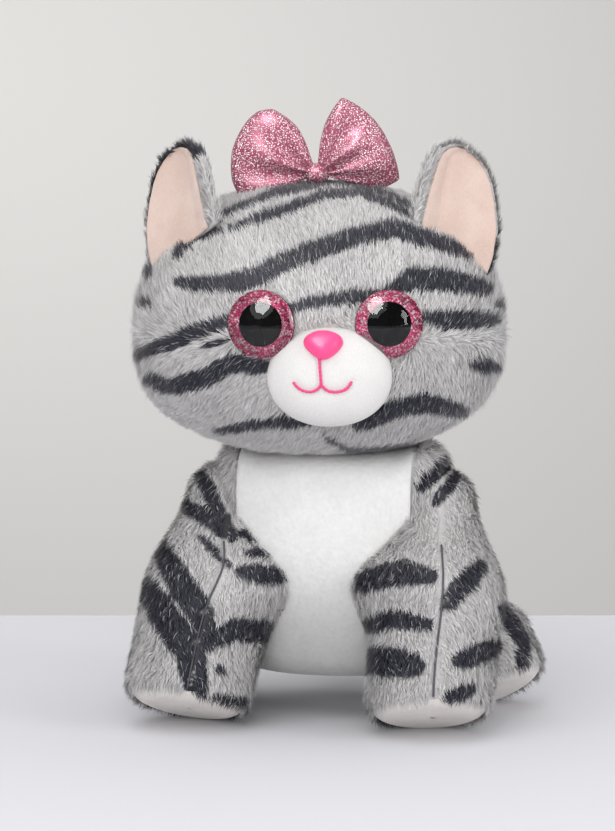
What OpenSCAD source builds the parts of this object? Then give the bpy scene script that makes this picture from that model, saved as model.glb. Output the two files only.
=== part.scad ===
// Seated plush cat, sewn from panels over fibre stuffing. Millimetres.
// +Z is up and the cat looks towards -Y. The origin is on the floor, midway between
// the paws and the tail's tip.

/* [Torso] */
// Height of the neck opening above the floor
torso_h = 96; // [92:0.1:106]
// Height of the torso's underside above the floor
torso_rise = 10; // [4:0.5:16]
// Half of the torso's width at the hips
torso_base_w = 45; // [38:1:54]
// Half of the torso's width at the neck
torso_neck_w = 34; // [30:1:38]
// Half of the torso's depth at the hips
torso_base_d = 42; // [35:1:50]
// Half of the torso's depth at the neck
torso_neck_d = 29; // [27:1:36]
// How far the hips sit behind the neck
torso_set_back = 8; // [0:1:14]
// Half of the white belly panel's width
belly_half_w = 31; // [24:1:36]

/* [Head] */
// Half of the head's width at the cheeks
head_w = 63.5; // [56:0.5:76]
// Half of the head's depth
head_d = 48; // [40:1:58]
// Height of the skull above the cheek line
head_up = 52.5; // [44:0.5:63]
// Depth of the jaw below the cheek line
head_down = 40.4; // [34:0.2:46]
// Sideways offset of the head from the neck
head_shift_x = -5; // [-6:1:6]
// Offset of the head in front of the neck
head_shift_y = -5; // [-9:1:2]
// Angle at which the head is set on the neck
head_turn = 10; // [-20:1:20]
// Air between the jaw and the top of the torso
neck_gap = 0.6; // [0.4:0.1:2]

/* [Neck] */
// Radius of the fabric sleeve that turns in the torso's neck opening
sleeve_r = 18; // [14:0.5:18.5]
// Depth of the sleeve in the torso
sleeve_depth = 5; // [3:0.5:5.5]

/* [Muzzle] */
// Half of the muzzle's width
muzzle_w = 22; // [18:0.2:26]
// Half of the muzzle's height
muzzle_h = 17.4; // [14:0.2:20.4]
// How far the muzzle stands out of the face
muzzle_out = 10.5; // [8:0.5:13]
// Height of the muzzle's centre below the cheek line
muzzle_drop = 10; // [6:0.2:12]
// Sideways offset of the muzzle from the face's centre
muzzle_shift = 3.4; // [-4:0.2:4]
// Width of the nose
nose_w = 15.4; // [11:0.2:17]
// Height of the nose
nose_h = 11.4; // [8:0.2:12]

/* [Eyes] */
// Diameter of the glitter eye
eye_dia = 23.4; // [20:0.1:26]
// Diameter of the black pupil
pupil_dia = 15.4; // [12:0.2:18]
// Height of the clear dome
lens_h = 5.2; // [3:0.2:7]
// Radius of the eye's post
post_r = 2; // [1.5:0.1:2.5]
// Height of the eyes above the cheek line
eye_rise = 8; // [7:0.2:13]
// Distance of the cat's right eye from the face's centre
right_eye_x = 19.8; // [18:0.2:28]
// Distance of the cat's left eye from the face's centre
left_eye_x = 23.4; // [20:0.2:29]

/* [Ears] */
// Width of an ear at its base
ear_w = 28; // [22:1:34]
// Height of an ear, square to its base
ear_h = 27; // [22:1:34]
// Depth of the cup
ear_cup = 6; // [3:0.5:8]
// Sideways lean of the tip towards the top of the head
ear_lean = 16; // [8:1:20]

/* [Bow] */
// Length of a bow wing from the knot's centre
wing_len = 28; // [24:1:36]
// Thickness of a puffed wing
wing_puff = 9; // [6:0.5:11]
// Width of the knot
knot_w = 9.5; // [8:0.5:13]

/* [Front legs] */
// Radius of the shoulder
shoulder_r = 13; // [10:0.5:16]
// Radius of the paw
paw_r = 22.2; // [19:0.1:24]
// Length from the shoulder's centre to the sole
front_leg_len = 77; // [66:1:80]
// Forward lean of the leg
leg_lean = 24; // [18:1:28]
// Outward splay of the leg
leg_splay = 5.5; // [4:0.5:10]
// Distance of the shoulder from the middle
shoulder_x = 38; // [36:0.5:42]

/* [Hind legs] */
// Radius of the thigh
thigh_r = 17; // [14:0.5:18]
// Length from the hip's centre to the sole
hind_leg_len = 33; // [28:1:38]
// Forward lean of the hind leg
hind_lean = 22; // [12:1:30]
// Outward splay of the hind leg
hind_splay = 27; // [22:1:36]

/* [Tail] */
// Radius of the tail
tail_r = 8; // [6:0.5:10]
// Radius of the tail's upward curl
tail_curl_r = 70; // [50:1:80]
// Angle of the curl
tail_curl = 62; // [40:1:80]

/* [Cloth] */
// Thickness of the plush backing and its pile at the root
plush_t = 2; // [1.2:0.1:2.6]
// Thickness of the velour
velour_t = 1.2; // [0.8:0.1:1.6]
// Radius of the embroidery thread
thread_r = 0.55; // [0.4:0.05:0.8]

/* [Hidden] */

// LEFT and RIGHT are the cat's own sides.
LEFT = 1;
RIGHT = -1;
fit_gap = 0.4;                 // between pieces that move past each other
seat_gap = 0.1;                // between pieces that lie against each other
swing = 25;                    // how far a leg swings forward
axis_y = -31;                  // the neck's axis lies in front of the origin
base_t = 2;                    // thickness of the base panel
round_fn = 32;                 // facets round a hull's spheres
cheek_z = torso_h + neck_gap + head_down;
plan_power = 2.3;              // squareness of the head seen from above
skull_power = 2.35;            // squareness of the skull seen from the front
jaw_power = 2.4;               // squareness of the jaw seen from the front
torso_round = 6;               // squareness of the torso's top and bottom edges
sole_edge = 7;                 // radius of the rounded edge round a sole
thick_from = 0.5;              // part of a limb's length over which it thickens
shoulder = [shoulder_x, -6, joint_height(front_leg_len, paw_r, leg_lean, leg_splay)];
hip = [45, 26, joint_height(hind_leg_len, thigh_r, hind_lean, hind_splay)];
tail_z = torso_rise + 14;
tail_root = [0, torso_back(tail_z) + tail_r + fit_gap, tail_z];

// A leg stands on the rounded rim of its sole, so its joint's height follows from its length and lean.
function joint_height(len, r, lean, splay) = let (c = cos(lean) * cos(splay))
    (len - sole_edge) * c + (r - sole_edge) * sqrt(1 - c * c) + sole_edge;

// Shapes that several pieces share.

// A power that keeps the sign of its base.
function spow(v, p) = sign(v) * pow(abs(v), p);

// A superellipse: half-width a, half-depth b, power p, n points.
function ring(a, b, p, n) = [for (i = [0:n - 1]) let (t = 360 * i / n)
    [a * spow(cos(t), 2 / p), b * spow(sin(t), 2 / p)]];

// A closed skin over a stack of rings, each a list of 3-D points, with a point at each end.
module skin(low, rings, high) {
    n = len(rings[0]);
    last = len(rings) * n + 1;
    points = concat([low], [for (r = rings) for (q = r) q], [high]);
    faces = concat(
        [for (i = [0:n - 1]) [0, 1 + i, 1 + (i + 1) % n]],
        [for (j = [0:len(rings) - 2]) for (i = [0:n - 1])
            [1 + j * n + i, 1 + (j + 1) * n + i, 1 + (j + 1) * n + (i + 1) % n, 1 + j * n + (i + 1) % n]],
        [for (i = [0:n - 1]) [last, last - n + (i + 1) % n, last - n + i]]
    );
    polyhedron(points, faces, convexity = 4);
}

// A superellipsoid with its own height and power above and below its middle.
module blob(a, b, up, down, p, p_up, p_down, n = 40, m = 18) {
    rings = [for (j = [1:m - 1]) let (
            f = -90 + 180 * j / m,
            q = f < 0 ? p_down : p_up,
            s = pow(cos(f), 2 / q))
        [for (c = ring(a * s, b * s, p, n)) [c[0], c[1], (f < 0 ? down : up) * spow(sin(f), 2 / q)]]];
    skin([0, 0, -down], rings, [0, 0, up]);
}

// How far the head's front lies in front of its centre at (x, z), both from the head's centre.
function head_front(x, z) = let (
        q = z < 0 ? jaw_power : skull_power,
        h = pow(abs(z) / (z < 0 ? head_down : head_up), q),
        s = pow(max(0, 1 - h), 1 / q))
    -head_d * pow(max(0, pow(s, plan_power) - pow(abs(x) / head_w, plan_power)), 1 / plan_power);

// How far the muzzle's front lies in front of the head's centre at (x, z), both from the head's centre.
muzzle_y = -head_d + 6;
muzzle_deep = muzzle_out + 6;
function muzzle_front(x, z) = muzzle_y - muzzle_deep * sqrt(max(0,
    1 - pow((x - muzzle_shift) / muzzle_w, 2) - pow((z + muzzle_drop) / muzzle_h, 2)));

module head_solid(inset) {
    blob(
        head_w - inset, head_d - inset, head_up - inset, head_down - inset,
        plan_power, skull_power, jaw_power
    );
}

module muzzle_solid(inset) {
    translate([muzzle_shift, muzzle_y, -muzzle_drop])
        blob(muzzle_w - inset, muzzle_deep - inset, muzzle_h - inset, muzzle_h - inset, 2, 2.1, 2.1, 32, 14);
}

// The torso is a pear: it narrows to the neck, and its top and bottom are nearly flat with round edges.
function torso_half(t, base, neck, inset) =
    (base + (neck - base) * t) * pow(max(0, 1 - pow(abs(2 * t - 1), torso_round)), 1 / torso_round) - inset;

module torso_solid(inset) {
    m = 20;
    low = torso_rise + inset;
    span = torso_h - torso_rise - 2 * inset;
    rings = [for (j = [1:m - 1]) let (
            t = (1 - cos(180 * j / m)) / 2,
            a = torso_half(t, torso_base_w, torso_neck_w, inset),
            b = torso_half(t, torso_base_d, torso_neck_d, inset))
        [for (c = ring(a, b, 2.3, 36)) [c[0], c[1] + torso_set_back * (1 - t), low + span * t]]];
    translate([0, axis_y, 0]) skin([0, torso_set_back, low], rings, [0, 0, low + span]);
}

// How far the torso's back lies behind its axis at height z.
function torso_back(z) = let (t = (z - torso_rise) / (torso_h - torso_rise))
    torso_half(t, torso_base_d, torso_neck_d, 0) + torso_set_back * (1 - t);

// Where the pieces sit.

module at_head() {
    translate([0, axis_y, 0]) rotate([0, 0, head_turn])
        translate([head_shift_x, head_shift_y, cheek_z]) children();
}

function eye_x(side) = side == LEFT ? left_eye_x : -right_eye_x;
function eye_yaw(side) = side == LEFT ? 11 : -17;
module at_eye(side) {
    at_head() translate([eye_x(side), head_front(eye_x(side), eye_rise), eye_rise])
        rotate([0, 0, eye_yaw(side)]) rotate([90 - 3, 0, 0]) children();
}

// An ear stands just off the head, on a line that slopes down and back outwards.
ear_x = 48;
ear_front = -20;
ear_roll = 35;
ear_pitch = 6;
ear_t = plush_t + velour_t;
function ear_yaw(side) = side == LEFT ? 34 : 46;
function ear_lift(side) = side == LEFT ? 2.8 : 3.8;
function ear_rise() = let (
        aside = ear_x / head_w,
        ahead = abs(ear_front) / head_d,
        out = pow(pow(aside, plan_power) + pow(ahead, plan_power), 1 / plan_power))
    head_up * pow(1 - pow(out, skull_power), 1 / skull_power);
module at_ear(side) {
    at_head() translate([side * ear_x, ear_front, ear_rise()])
        rotate([0, side * ear_roll, side * ear_yaw(side)]) translate([0, 0, ear_lift(side)])
            mirror([side == LEFT ? 0 : 1, 0, 0]) rotate([-ear_pitch, 0, 0]) children();
}

bow_rise = 4.5;                // height of the knot above the crown
module at_bow() {
    at_head() translate([-1, -4, head_up + bow_rise]) children();
}

// A limb leans forward and splays outwards from its joint.
module at_joint(side, joint, lean, splay) {
    translate([side * joint[0], joint[1] + axis_y, joint[2]]) rotate([-lean, 0, 0])
        rotate([0, -side * splay, 0]) children();
}

module at_shoulder(side) {
    at_joint(side, shoulder, leg_lean, leg_splay) children();
}

module at_hip(side) {
    at_joint(side, hip, hind_lean, hind_splay) children();
}

// The torso.

// The room that a leg takes as it swings forward about its joint.
module leg_room(side, joint, r, foot_r, len, lean, splay) {
    grow = fit_gap + 0.3;
    knee = 0.42 * (len - sole_edge);
    hull() {
        at_joint(side, joint, lean, splay) sphere(r + grow, $fn = round_fn);
        for (a = [0, swing])
            at_joint(side, joint, lean + a, splay)
                translate([0, 0, -knee]) sphere(foot_r + grow, $fn = round_fn);
    }
    hull() for (a = [0, swing])
        at_joint(side, joint, lean + a, splay) translate([0, 0, -len - grow])
            cylinder(r = foot_r + grow, h = len - knee + grow, $fn = round_fn);
}

module all_leg_room() {
    for (side = [LEFT, RIGHT]) {
        leg_room(side, shoulder, shoulder_r, paw_r, front_leg_len, leg_lean, leg_splay);
        leg_room(side, hip, thigh_r, thigh_r, hind_leg_len, hind_lean, hind_splay);
    }
}

// A round of cloth or stuffing on the neck's axis.
module neck_round(r, low, h) {
    translate([0, axis_y, low]) cylinder(r = r, h = h, $fn = 64);
}

module neck_opening(extra) {
    neck_round(sleeve_r + fit_gap, torso_h - sleeve_depth - extra, sleeve_depth + extra + 5);
}

module torso_cover() {
    difference() {
        torso_solid(0);
        torso_solid(plush_t);
        all_leg_room();
        neck_opening(0);
    }
}

module belly_cut() {
    translate([-belly_half_w, axis_y - 100, torso_rise + base_t]) cube([2 * belly_half_w, 98, torso_h]);
}

module base_cut() {
    translate([-100, axis_y - 100, 0]) cube([200, 200, torso_rise + base_t]);
}

module torso_back_cover() {
    color("#a9a9ad") difference() {
        torso_cover();
        belly_cut();
        base_cut();
    }
}

module belly_panel() {
    color("#f2f0ef") intersection() {
        torso_cover();
        belly_cut();
    }
}

module base_panel() {
    color("#b7b6b8") intersection() {
        torso_cover();
        base_cut();
    }
}

// A weighted pouch on the torso's base keeps the cat seated.
pouch_r = 24;
pouch_h = 16;
pouch_at = [0, axis_y + torso_set_back + 4, torso_rise + plush_t + 1 + pouch_h / 2];
pouch_t = 0.8;
pouch_edge = 6;
module pouch_solid(inset) {
    r = pouch_r - inset;
    h = pouch_h / 2 - inset;
    e = pouch_edge - inset;
    translate(pouch_at) rotate_extrude($fn = 48) polygon(concat(
        [[0, -h]],
        [for (a = [-90:15:0]) [r - e + e * cos(a), -h + e + e * sin(a)]],
        [for (a = [0:15:90]) [r - e + e * cos(a), h - e + e * sin(a)]],
        [[0, h]]));
}

module torso_filling() {
    color("#f7f6f2") difference() {
        torso_solid(plush_t + seat_gap);
        all_leg_room();
        neck_opening(1);
        pouch_solid(-seat_gap);
        translate([pouch_at[0], pouch_at[1], torso_rise]) cylinder(r = pouch_r - 8, h = 8, $fn = 48);
    }
}

module pellet_pouch() {
    color("#e9e6df") difference() {
        pouch_solid(0);
        pouch_solid(pouch_t);
    }
}

module pellet_load() {
    color("#fbfbfa") pouch_solid(pouch_t + seat_gap);
}

// The ladder stitch round the neck opening lies in the torso's cover, just outside the sleeve.
stitch_ring_r = sleeve_r + fit_gap + 0.9;
module neck_stitching() {
    color("#8d8d92") difference() {
        translate([0, axis_y, torso_h - 0.5]) rotate_extrude($fn = 64)
            translate([stitch_ring_r, 0]) circle(0.5, $fn = 16);
        torso_solid(0);
    }
}

// The head.

module eye_seat(side) {
    at_eye(side) {
        cylinder(r = eye_dia / 2 + seat_gap, h = 30, $fn = 64);
        translate([0, 0, -8]) cylinder(r = post_r + seat_gap, h = 9, $fn = 32);
    }
}

module head_cover() {
    difference() {
        at_head() head_solid(0);
        at_head() head_solid(plush_t);
        eye_seat(LEFT);
        eye_seat(RIGHT);
        nose_hole(post_r + seat_gap);
    }
}

// The seam between the face and the back of the head runs over the crown, through the ears.
seam_y = 2;
module face_half() {
    at_head() translate([-100, seam_y - 100, -100]) cube([200, 100, 200]);
}

module head_face_cover() {
    color("#b3b3b6") intersection() {
        head_cover();
        face_half();
    }
}

module head_back_cover() {
    color("#a9a9ad") difference() {
        head_cover();
        face_half();
    }
}

washer_r = 6.4;
washer_t = 1.6;
washer_depth = plush_t + 1.7;  // from the eye's back to the washer
module eye_pocket(side) {
    at_eye(side) {
        cylinder(r = eye_dia / 2 + seat_gap, h = 30, $fn = 64);
        translate([0, 0, -14]) cylinder(r = washer_r + seat_gap, h = 15, $fn = 48);
    }
}

module head_filling() {
    color("#f7f6f2") difference() {
        at_head() head_solid(plush_t + seat_gap);
        eye_pocket(LEFT);
        eye_pocket(RIGHT);
        nose_hole(washer_r + seat_gap);
    }
}

module neck_sleeve() {
    color("#a9a9ad") difference() {
        neck_round(sleeve_r, torso_h - sleeve_depth + 0.5, sleeve_depth + 8);
        neck_round(sleeve_r - plush_t, torso_h - sleeve_depth, sleeve_depth + 10);
        at_head() head_solid(-seat_gap / 2);
    }
}

module neck_filling() {
    color("#f7f6f2") difference() {
        neck_round(sleeve_r - plush_t - seat_gap, torso_h - sleeve_depth + 0.5, sleeve_depth + 8);
        at_head() head_solid(-seat_gap / 2);
    }
}

// The nose's post runs straight back through the muzzle and the face to a washer inside the head.
nose_post_len = 18;
module nose_hole(r) {
    at_nose_post() cylinder(r = r, h = nose_post_len + 2, $fn = 40);
}

module muzzle_cover() {
    color("#f5f3f1") difference() {
        at_head() muzzle_solid(0);
        at_head() muzzle_solid(velour_t);
        at_head() head_solid(-seat_gap);
        eye_seat(LEFT);
        eye_seat(RIGHT);
        nose_hole(post_r + seat_gap);
    }
}

module muzzle_filling() {
    color("#f7f6f2") difference() {
        at_head() muzzle_solid(velour_t + seat_gap);
        at_head() head_solid(-seat_gap);
        eye_seat(LEFT);
        eye_seat(RIGHT);
        nose_hole(post_r + seat_gap);
    }
}

// The nose button lies on the upper front of the muzzle, leaning back with it.
nose_z = muzzle_h * 0.66;
nose_lean = 42;
nose_out = 3.6;
nose_x = 1.9;
module at_nose() {
    at_head() translate([nose_x, muzzle_front(nose_x, nose_z - muzzle_drop) - 0.4, nose_z - muzzle_drop])
        rotate([90 - nose_lean, 0, 0]) children();
}

module at_nose_post() {
    at_nose() translate([0, 0, 1.2]) rotate([nose_lean - 180, 0, 0]) children();
}

module nose_button() {
    color("#ff4f95") union() {
        at_nose_post() cylinder(r = post_r, h = nose_post_len, $fn = 32);
        at_nose() translate([0, 0, 0.2]) difference() {
            resize([nose_w, nose_h, 2 * nose_out]) sphere(nose_w / 2, $fn = 28);
            translate([0, 0, -10]) cube([40, 40, 20], center = true);
        }
    }
}

module nose_washer() {
    color("#e8e8e6") at_nose_post() translate([0, 0, nose_post_len - washer_t - 3]) difference() {
        cylinder(r = washer_r - 1, h = washer_t, $fn = 40);
        translate([0, 0, -1]) cylinder(r = post_r + seat_gap, h = washer_t + 2, $fn = 32);
    }
}

// One embroidered line: a rising stroke under the nose and an arc to each side.
mouth_half_w = 10;
mouth_x = 1.2;
mouth_drop = 1.7;              // height of the mouth's middle above the muzzle's centre, downwards
mouth_sag = 3;
function mouth_arc(side) = [for (k = [0:7]) let (t = k / 7)
    [mouth_x + side * mouth_half_w * t,
        -muzzle_drop - mouth_drop - mouth_sag * sin(180 * min(1, t * 0.98)) * 0.9 + 1.6 * t * t]];
function mouth_stem() = [for (k = [0:4])
    [mouth_x, nose_z - muzzle_drop - 4.5 + (-mouth_drop - nose_z + 4.5) * k / 4]];
module thread(path) {
    for (k = [0:len(path) - 2])
        hull() for (q = [path[k], path[k + 1]])
            translate([q[0], muzzle_front(q[0], q[1]) - thread_r - 2 * seat_gap, q[1]])
                sphere(thread_r, $fn = 8);
}
module mouth_stitching() {
    color("#e8447f") at_head() {
        thread(mouth_stem());
        thread(mouth_arc(LEFT));
        thread(mouth_arc(RIGHT));
    }
}

// The eyes.

eye_plate = 1.2;
eye_film = 0.5;

module eye_lens(side) {
    rise = lens_h;
    r = eye_dia / 2;
    ball = (r * r + rise * rise) / (2 * rise);
    sweep = asin(r / ball);
    color([1, 1, 1, 0.3]) at_eye(side) translate([0, 0, eye_plate + eye_film]) rotate_extrude($fn = 64)
        polygon(concat([[0, 0]], [for (k = [12:-1:0]) let (a = sweep * k / 12)
            [ball * sin(a), rise - ball + ball * cos(a)]]));
}

module eye_glitter_ring(side) {
    color("#d9447c") at_eye(side) translate([0, 0, eye_plate]) difference() {
        cylinder(r = eye_dia / 2, h = eye_film, $fn = 64);
        translate([0, 0, -1]) cylinder(r = pupil_dia / 2, h = 3, $fn = 64);
    }
}

module eye_pupil(side) {
    color("#0b0b0d") at_eye(side)
        translate([0, 0, eye_plate]) cylinder(r = pupil_dia / 2, h = eye_film, $fn = 64);
}

module eye_post(side) {
    color("#141416") at_eye(side) union() {
        cylinder(r = eye_dia / 2, h = eye_plate, $fn = 64);
        translate([0, 0, -7.5]) cylinder(r = post_r, h = 8, $fn = 32);
    }
}

module eye_washer(side) {
    color("#e8e8e6") at_eye(side) difference() {
        translate([0, 0, -washer_depth - washer_t]) cylinder(r = washer_r, h = washer_t, $fn = 48);
        translate([0, 0, -10]) cylinder(r = post_r + seat_gap, h = 10, $fn = 32);
    }
}

// The ears.

// The ear's surface: s runs from -1 at its inner edge to 1 at its outer edge, and t from 0
// at its base to 1 at its tip.
function ear_half(t) = ear_w / 2 * pow(1 - pow(t, 2.1), 0.62);
function ear_point(s, t, back) = [
    s * ear_half(t) - ear_lean * t,
    back - ear_cup * s * s * sin(min(90, 130 * t)),
    ear_h * t];

// A cupped sheet between two depths, as a closed skin of rings along s.
module ear_sheet(front, back) {
    steps = 14;
    rows = 14;
    top = 0.985;
    rings = [for (j = [0:rows]) let (t = top * j / rows) concat(
        [for (i = [0:steps]) ear_point(-1 + 2 * i / steps, t, front)],
        [for (i = [steps:-1:0]) ear_point(-1 + 2 * i / steps, t, back)])];
    skin(ear_point(0, 0, (front + back) / 2), rings, ear_point(0, top + 0.005, (front + back) / 2));
}

module ear_back(side) {
    color("#9b9ba0") at_ear(side) ear_sheet(velour_t - ear_t / 2 + 4 * seat_gap, ear_t / 2);
}

module ear_lining(side) {
    color("#f0d3c8") at_ear(side) ear_sheet(-ear_t / 2, velour_t - ear_t / 2);
}

// The bow.

// A wing is a puffed fan in polar form about the knot: t runs out from the knot, s across the fan.
function wing_from(side) = side == LEFT ? -11 : 118;
function wing_to(side) = side == LEFT ? 76 : 197;
function wing_point(side, s, t, face) = let (
        mid = (wing_from(side) + wing_to(side)) / 2,
        spread = (wing_to(side) - wing_from(side)) / 2,
        a = mid + spread * s,
        r = knot_w * 0.35 + (wing_len - knot_w * 0.35) * t * (1 - 0.05 * cos(180 * s)),
        pinch = knot_w * 0.18 * (1 - t),
        thick = wing_puff / 2 * (0.35 + 0.65 * sin(150 * t)) * sqrt(max(0, 1 - s * s * 0.97)))
    [r * cos(a), face * (thick + 0.25), r * sin(a) + pinch * s];

module bow_wing(side) {
    steps = 10;
    rows = 8;
    rings = [for (j = [0:rows]) let (t = j / rows) concat(
        [for (i = [0:steps]) wing_point(side, -1 + 2 * i / steps, t, -1)],
        [for (i = [steps:-1:0]) wing_point(side, -1 + 2 * i / steps, t, 1)])];
    color("#cf5a84") at_bow() difference() {
        skin(wing_point(side, 0, 0, 0), rings, wing_point(side, 0, 1, 0));
        knot_solid(seat_gap);
    }
}

knot_h = knot_w * 0.84;
module knot_solid(grow) {
    resize([knot_w + 2 * grow, knot_w * 0.95 + 2 * grow, knot_h + 2 * grow]) sphere(knot_w / 2, $fn = 24);
}

module bow_knot() {
    color("#d0567f") at_bow() knot_solid(0);
}

// The thread that tacks the knot to the crown.
module bow_tack() {
    color("#b94a72") difference() {
        at_bow() translate([0, 0, -bow_rise - 1]) cylinder(r = 1.2, h = bow_rise + 1, $fn = 24);
        at_bow() knot_solid(seat_gap);
        at_head() head_solid(-seat_gap / 2);
    }
}

// The legs and the tail.

// Points of a leg's outline from its top down to the sole: a ball, a side that thickens and a rounded edge.
// inset moves it in.
seam_angle = -40;              // where the sole's seam lies on the rounded edge
function leg_top(r, inset) = [for (a = [90:-10:0]) (r - inset) * [cos(a), sin(a)]];
function thicken(t) = let (u = min(1, t / thick_from)) u * u * (3 - 2 * u);
function leg_side(r, foot, len, inset) = [for (k = [1:9]) let (t = k / 10)
    [r + (foot - r) * thicken(t) - inset, -(len - sole_edge) * t]];
function leg_edge(foot, len, inset, from, to) = [for (k = [0:6]) let (a = from + (to - from) * k / 6)
    [foot - sole_edge + (sole_edge - inset) * cos(a), sole_edge - len + (sole_edge - inset) * sin(a)]];
function flip(list) = [for (k = [len(list) - 1:-1:0]) list[k]];
function upper_line(r, foot, len, inset) =
    concat(leg_top(r, inset), leg_side(r, foot, len, inset), leg_edge(foot, len, inset, 0, seam_angle));

module leg_cover(r, foot, len, start, angle) {
    rotate_extrude(angle = angle, start = start, $fn = 64)
        polygon(concat(upper_line(r, foot, len, 0), flip(upper_line(r, foot, len, plush_t))));
}

module leg_pad(foot, len) {
    rotate_extrude($fn = 64) polygon(concat(
        leg_edge(foot, len, 0, seam_angle, -90), [[0, -len]], [[0, velour_t + 0.6 - len]],
        flip(leg_edge(foot, len, velour_t + 0.6, seam_angle, -90))));
}

module leg_stuffing(r, foot, len) {
    inset = plush_t + seat_gap;
    rotate_extrude($fn = 64) polygon(concat(
        upper_line(r, foot, len, inset), leg_edge(foot, len, inset, seam_angle, -90), [[0, inset - len]]));
}

module front_leg_half(side, outer) {
    start = (side == LEFT) == outer ? -90 : 90;
    color("#a9a9ad") at_shoulder(side) leg_cover(shoulder_r, paw_r, front_leg_len, start, 180);
}

module front_paw_pad(side) {
    color("#f1e9e2") at_shoulder(side) leg_pad(paw_r, front_leg_len);
}

module front_leg_filling(side) {
    color("#f7f6f2") at_shoulder(side) leg_stuffing(shoulder_r, paw_r, front_leg_len);
}

module hind_leg_cover(side) {
    color("#a9a9ad") at_hip(side) leg_cover(thigh_r, thigh_r, hind_leg_len, 0, 360);
}

module hind_foot_pad(side) {
    color("#f1e9e2") at_hip(side) leg_pad(thigh_r, hind_leg_len);
}

module hind_leg_filling(side) {
    color("#f7f6f2") at_hip(side) leg_stuffing(thigh_r, thigh_r, hind_leg_len);
}

// The tail runs back from its root and curls upwards, with a round end at each side of the arc.
module tail_solid(inset) {
    r = tail_r - inset;
    n = 28;
    stations = concat(
        [for (a = [80:-20:0]) [0, -r * sin(a), r * cos(a)]],
        [for (k = [1:9]) [tail_curl * k / 10, 0, r]],
        [for (a = [0:20:80]) [tail_curl, r * sin(a), r * cos(a)]]);
    rings = [for (q = stations) [for (k = [0:n - 1]) let (u = 360 * k / n)
        tail_point(q[0], q[1], q[2] * cos(u), -q[2] * sin(u))]];
    translate([0, axis_y, 0]) translate(tail_root)
        skin(tail_point(0, -r, 0, 0), rings, tail_point(tail_curl, r, 0, 0));
}

// A point beside the tail's centre line: a along the arc, then along its tangent, sideways and across.
function tail_point(a, along, side, across) = [
    side,
    (tail_curl_r - across) * sin(a) + along * cos(a),
    tail_curl_r - (tail_curl_r - across) * cos(a) + along * sin(a)];

module tail_cover() {
    color("#9b9ba0") difference() {
        tail_solid(0);
        tail_solid(plush_t);
    }
}

module tail_filling() {
    color("#f7f6f2") tail_solid(plush_t + seat_gap);
}

// The pieces, by name.

torso_back_cover();
belly_panel();
base_panel();
torso_filling();
pellet_pouch();
pellet_load();
neck_stitching();
neck_sleeve();
neck_filling();
head_face_cover();
head_back_cover();
head_filling();
muzzle_cover();
muzzle_filling();
nose_button();
nose_washer();
mouth_stitching();
eye_lens(LEFT);  // left_eye_lens
eye_glitter_ring(LEFT);  // left_eye_glitter_ring
eye_pupil(LEFT);  // left_eye_pupil
eye_post(LEFT);  // left_eye_post
eye_washer(LEFT);  // left_eye_washer
eye_lens(RIGHT);  // right_eye_lens
eye_glitter_ring(RIGHT);  // right_eye_glitter_ring
eye_pupil(RIGHT);  // right_eye_pupil
eye_post(RIGHT);  // right_eye_post
eye_washer(RIGHT);  // right_eye_washer
ear_back(LEFT);  // left_ear_back
ear_lining(LEFT);  // left_ear_lining
ear_back(RIGHT);  // right_ear_back
ear_lining(RIGHT);  // right_ear_lining
bow_wing(LEFT);  // bow_left_wing
bow_wing(RIGHT);  // bow_right_wing
bow_knot();
bow_tack();
front_leg_half(LEFT, true);  // left_front_leg_outer
front_leg_half(LEFT, false);  // left_front_leg_inner
front_paw_pad(LEFT);  // left_front_paw_pad
front_leg_filling(LEFT);  // left_front_leg_filling
front_leg_half(RIGHT, true);  // right_front_leg_outer
front_leg_half(RIGHT, false);  // right_front_leg_inner
front_paw_pad(RIGHT);  // right_front_paw_pad
front_leg_filling(RIGHT);  // right_front_leg_filling
hind_leg_cover(LEFT);  // left_hind_leg_cover
hind_foot_pad(LEFT);  // left_hind_foot_pad
hind_leg_filling(LEFT);  // left_hind_leg_filling
hind_leg_cover(RIGHT);  // right_hind_leg_cover
hind_foot_pad(RIGHT);  // right_hind_foot_pad
hind_leg_filling(RIGHT);  // right_hind_leg_filling
tail_cover();
tail_filling();
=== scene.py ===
import math

import bpy
import numpy as np
from mathutils import Matrix, Vector


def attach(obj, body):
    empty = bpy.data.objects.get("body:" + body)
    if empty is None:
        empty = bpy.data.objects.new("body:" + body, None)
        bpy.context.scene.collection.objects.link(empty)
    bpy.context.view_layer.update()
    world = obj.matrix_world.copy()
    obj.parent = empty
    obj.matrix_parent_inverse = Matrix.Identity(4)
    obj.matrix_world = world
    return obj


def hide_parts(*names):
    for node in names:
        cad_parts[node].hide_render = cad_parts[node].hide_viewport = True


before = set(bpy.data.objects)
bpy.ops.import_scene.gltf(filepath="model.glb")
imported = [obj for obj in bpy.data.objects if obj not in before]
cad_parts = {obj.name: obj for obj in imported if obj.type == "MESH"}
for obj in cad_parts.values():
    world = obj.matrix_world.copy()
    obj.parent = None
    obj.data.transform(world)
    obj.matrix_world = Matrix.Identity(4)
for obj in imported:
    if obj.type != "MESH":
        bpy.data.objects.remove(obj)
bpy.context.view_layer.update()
scene = bpy.context.scene

# Places are in millimetres in the row frame, and turned into metres when a mesh is made.
mm = 0.001
rng = np.random.default_rng(20)
catLeft, catRight = 1, -1

# Where the pieces sit. These are the CAD part's own values, in millimetres and degrees.
cat = {
    "axisY": -31.0,                         # the neck's axis
    "headTurn": 10.0,
    "headAt": (-5.0, -5.0, 137.0),
    "headHalf": (63.5, 48.0, 52.5, 40.4),   # width, depth, up, down
    "headPowers": (2.3, 2.35, 2.4),         # plan, skull, jaw
    "torso": {"low": 10.0, "high": 96.0, "baseW": 45.0, "neckW": 34.0, "baseD": 42.0, "neckD": 29.0,
              "setBack": 8.0, "round": 6.0, "plan": 2.3},
    "bibHalf": 31.0,
}
axis = np.array([0.0, cat["axisY"], 0.0])

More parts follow.
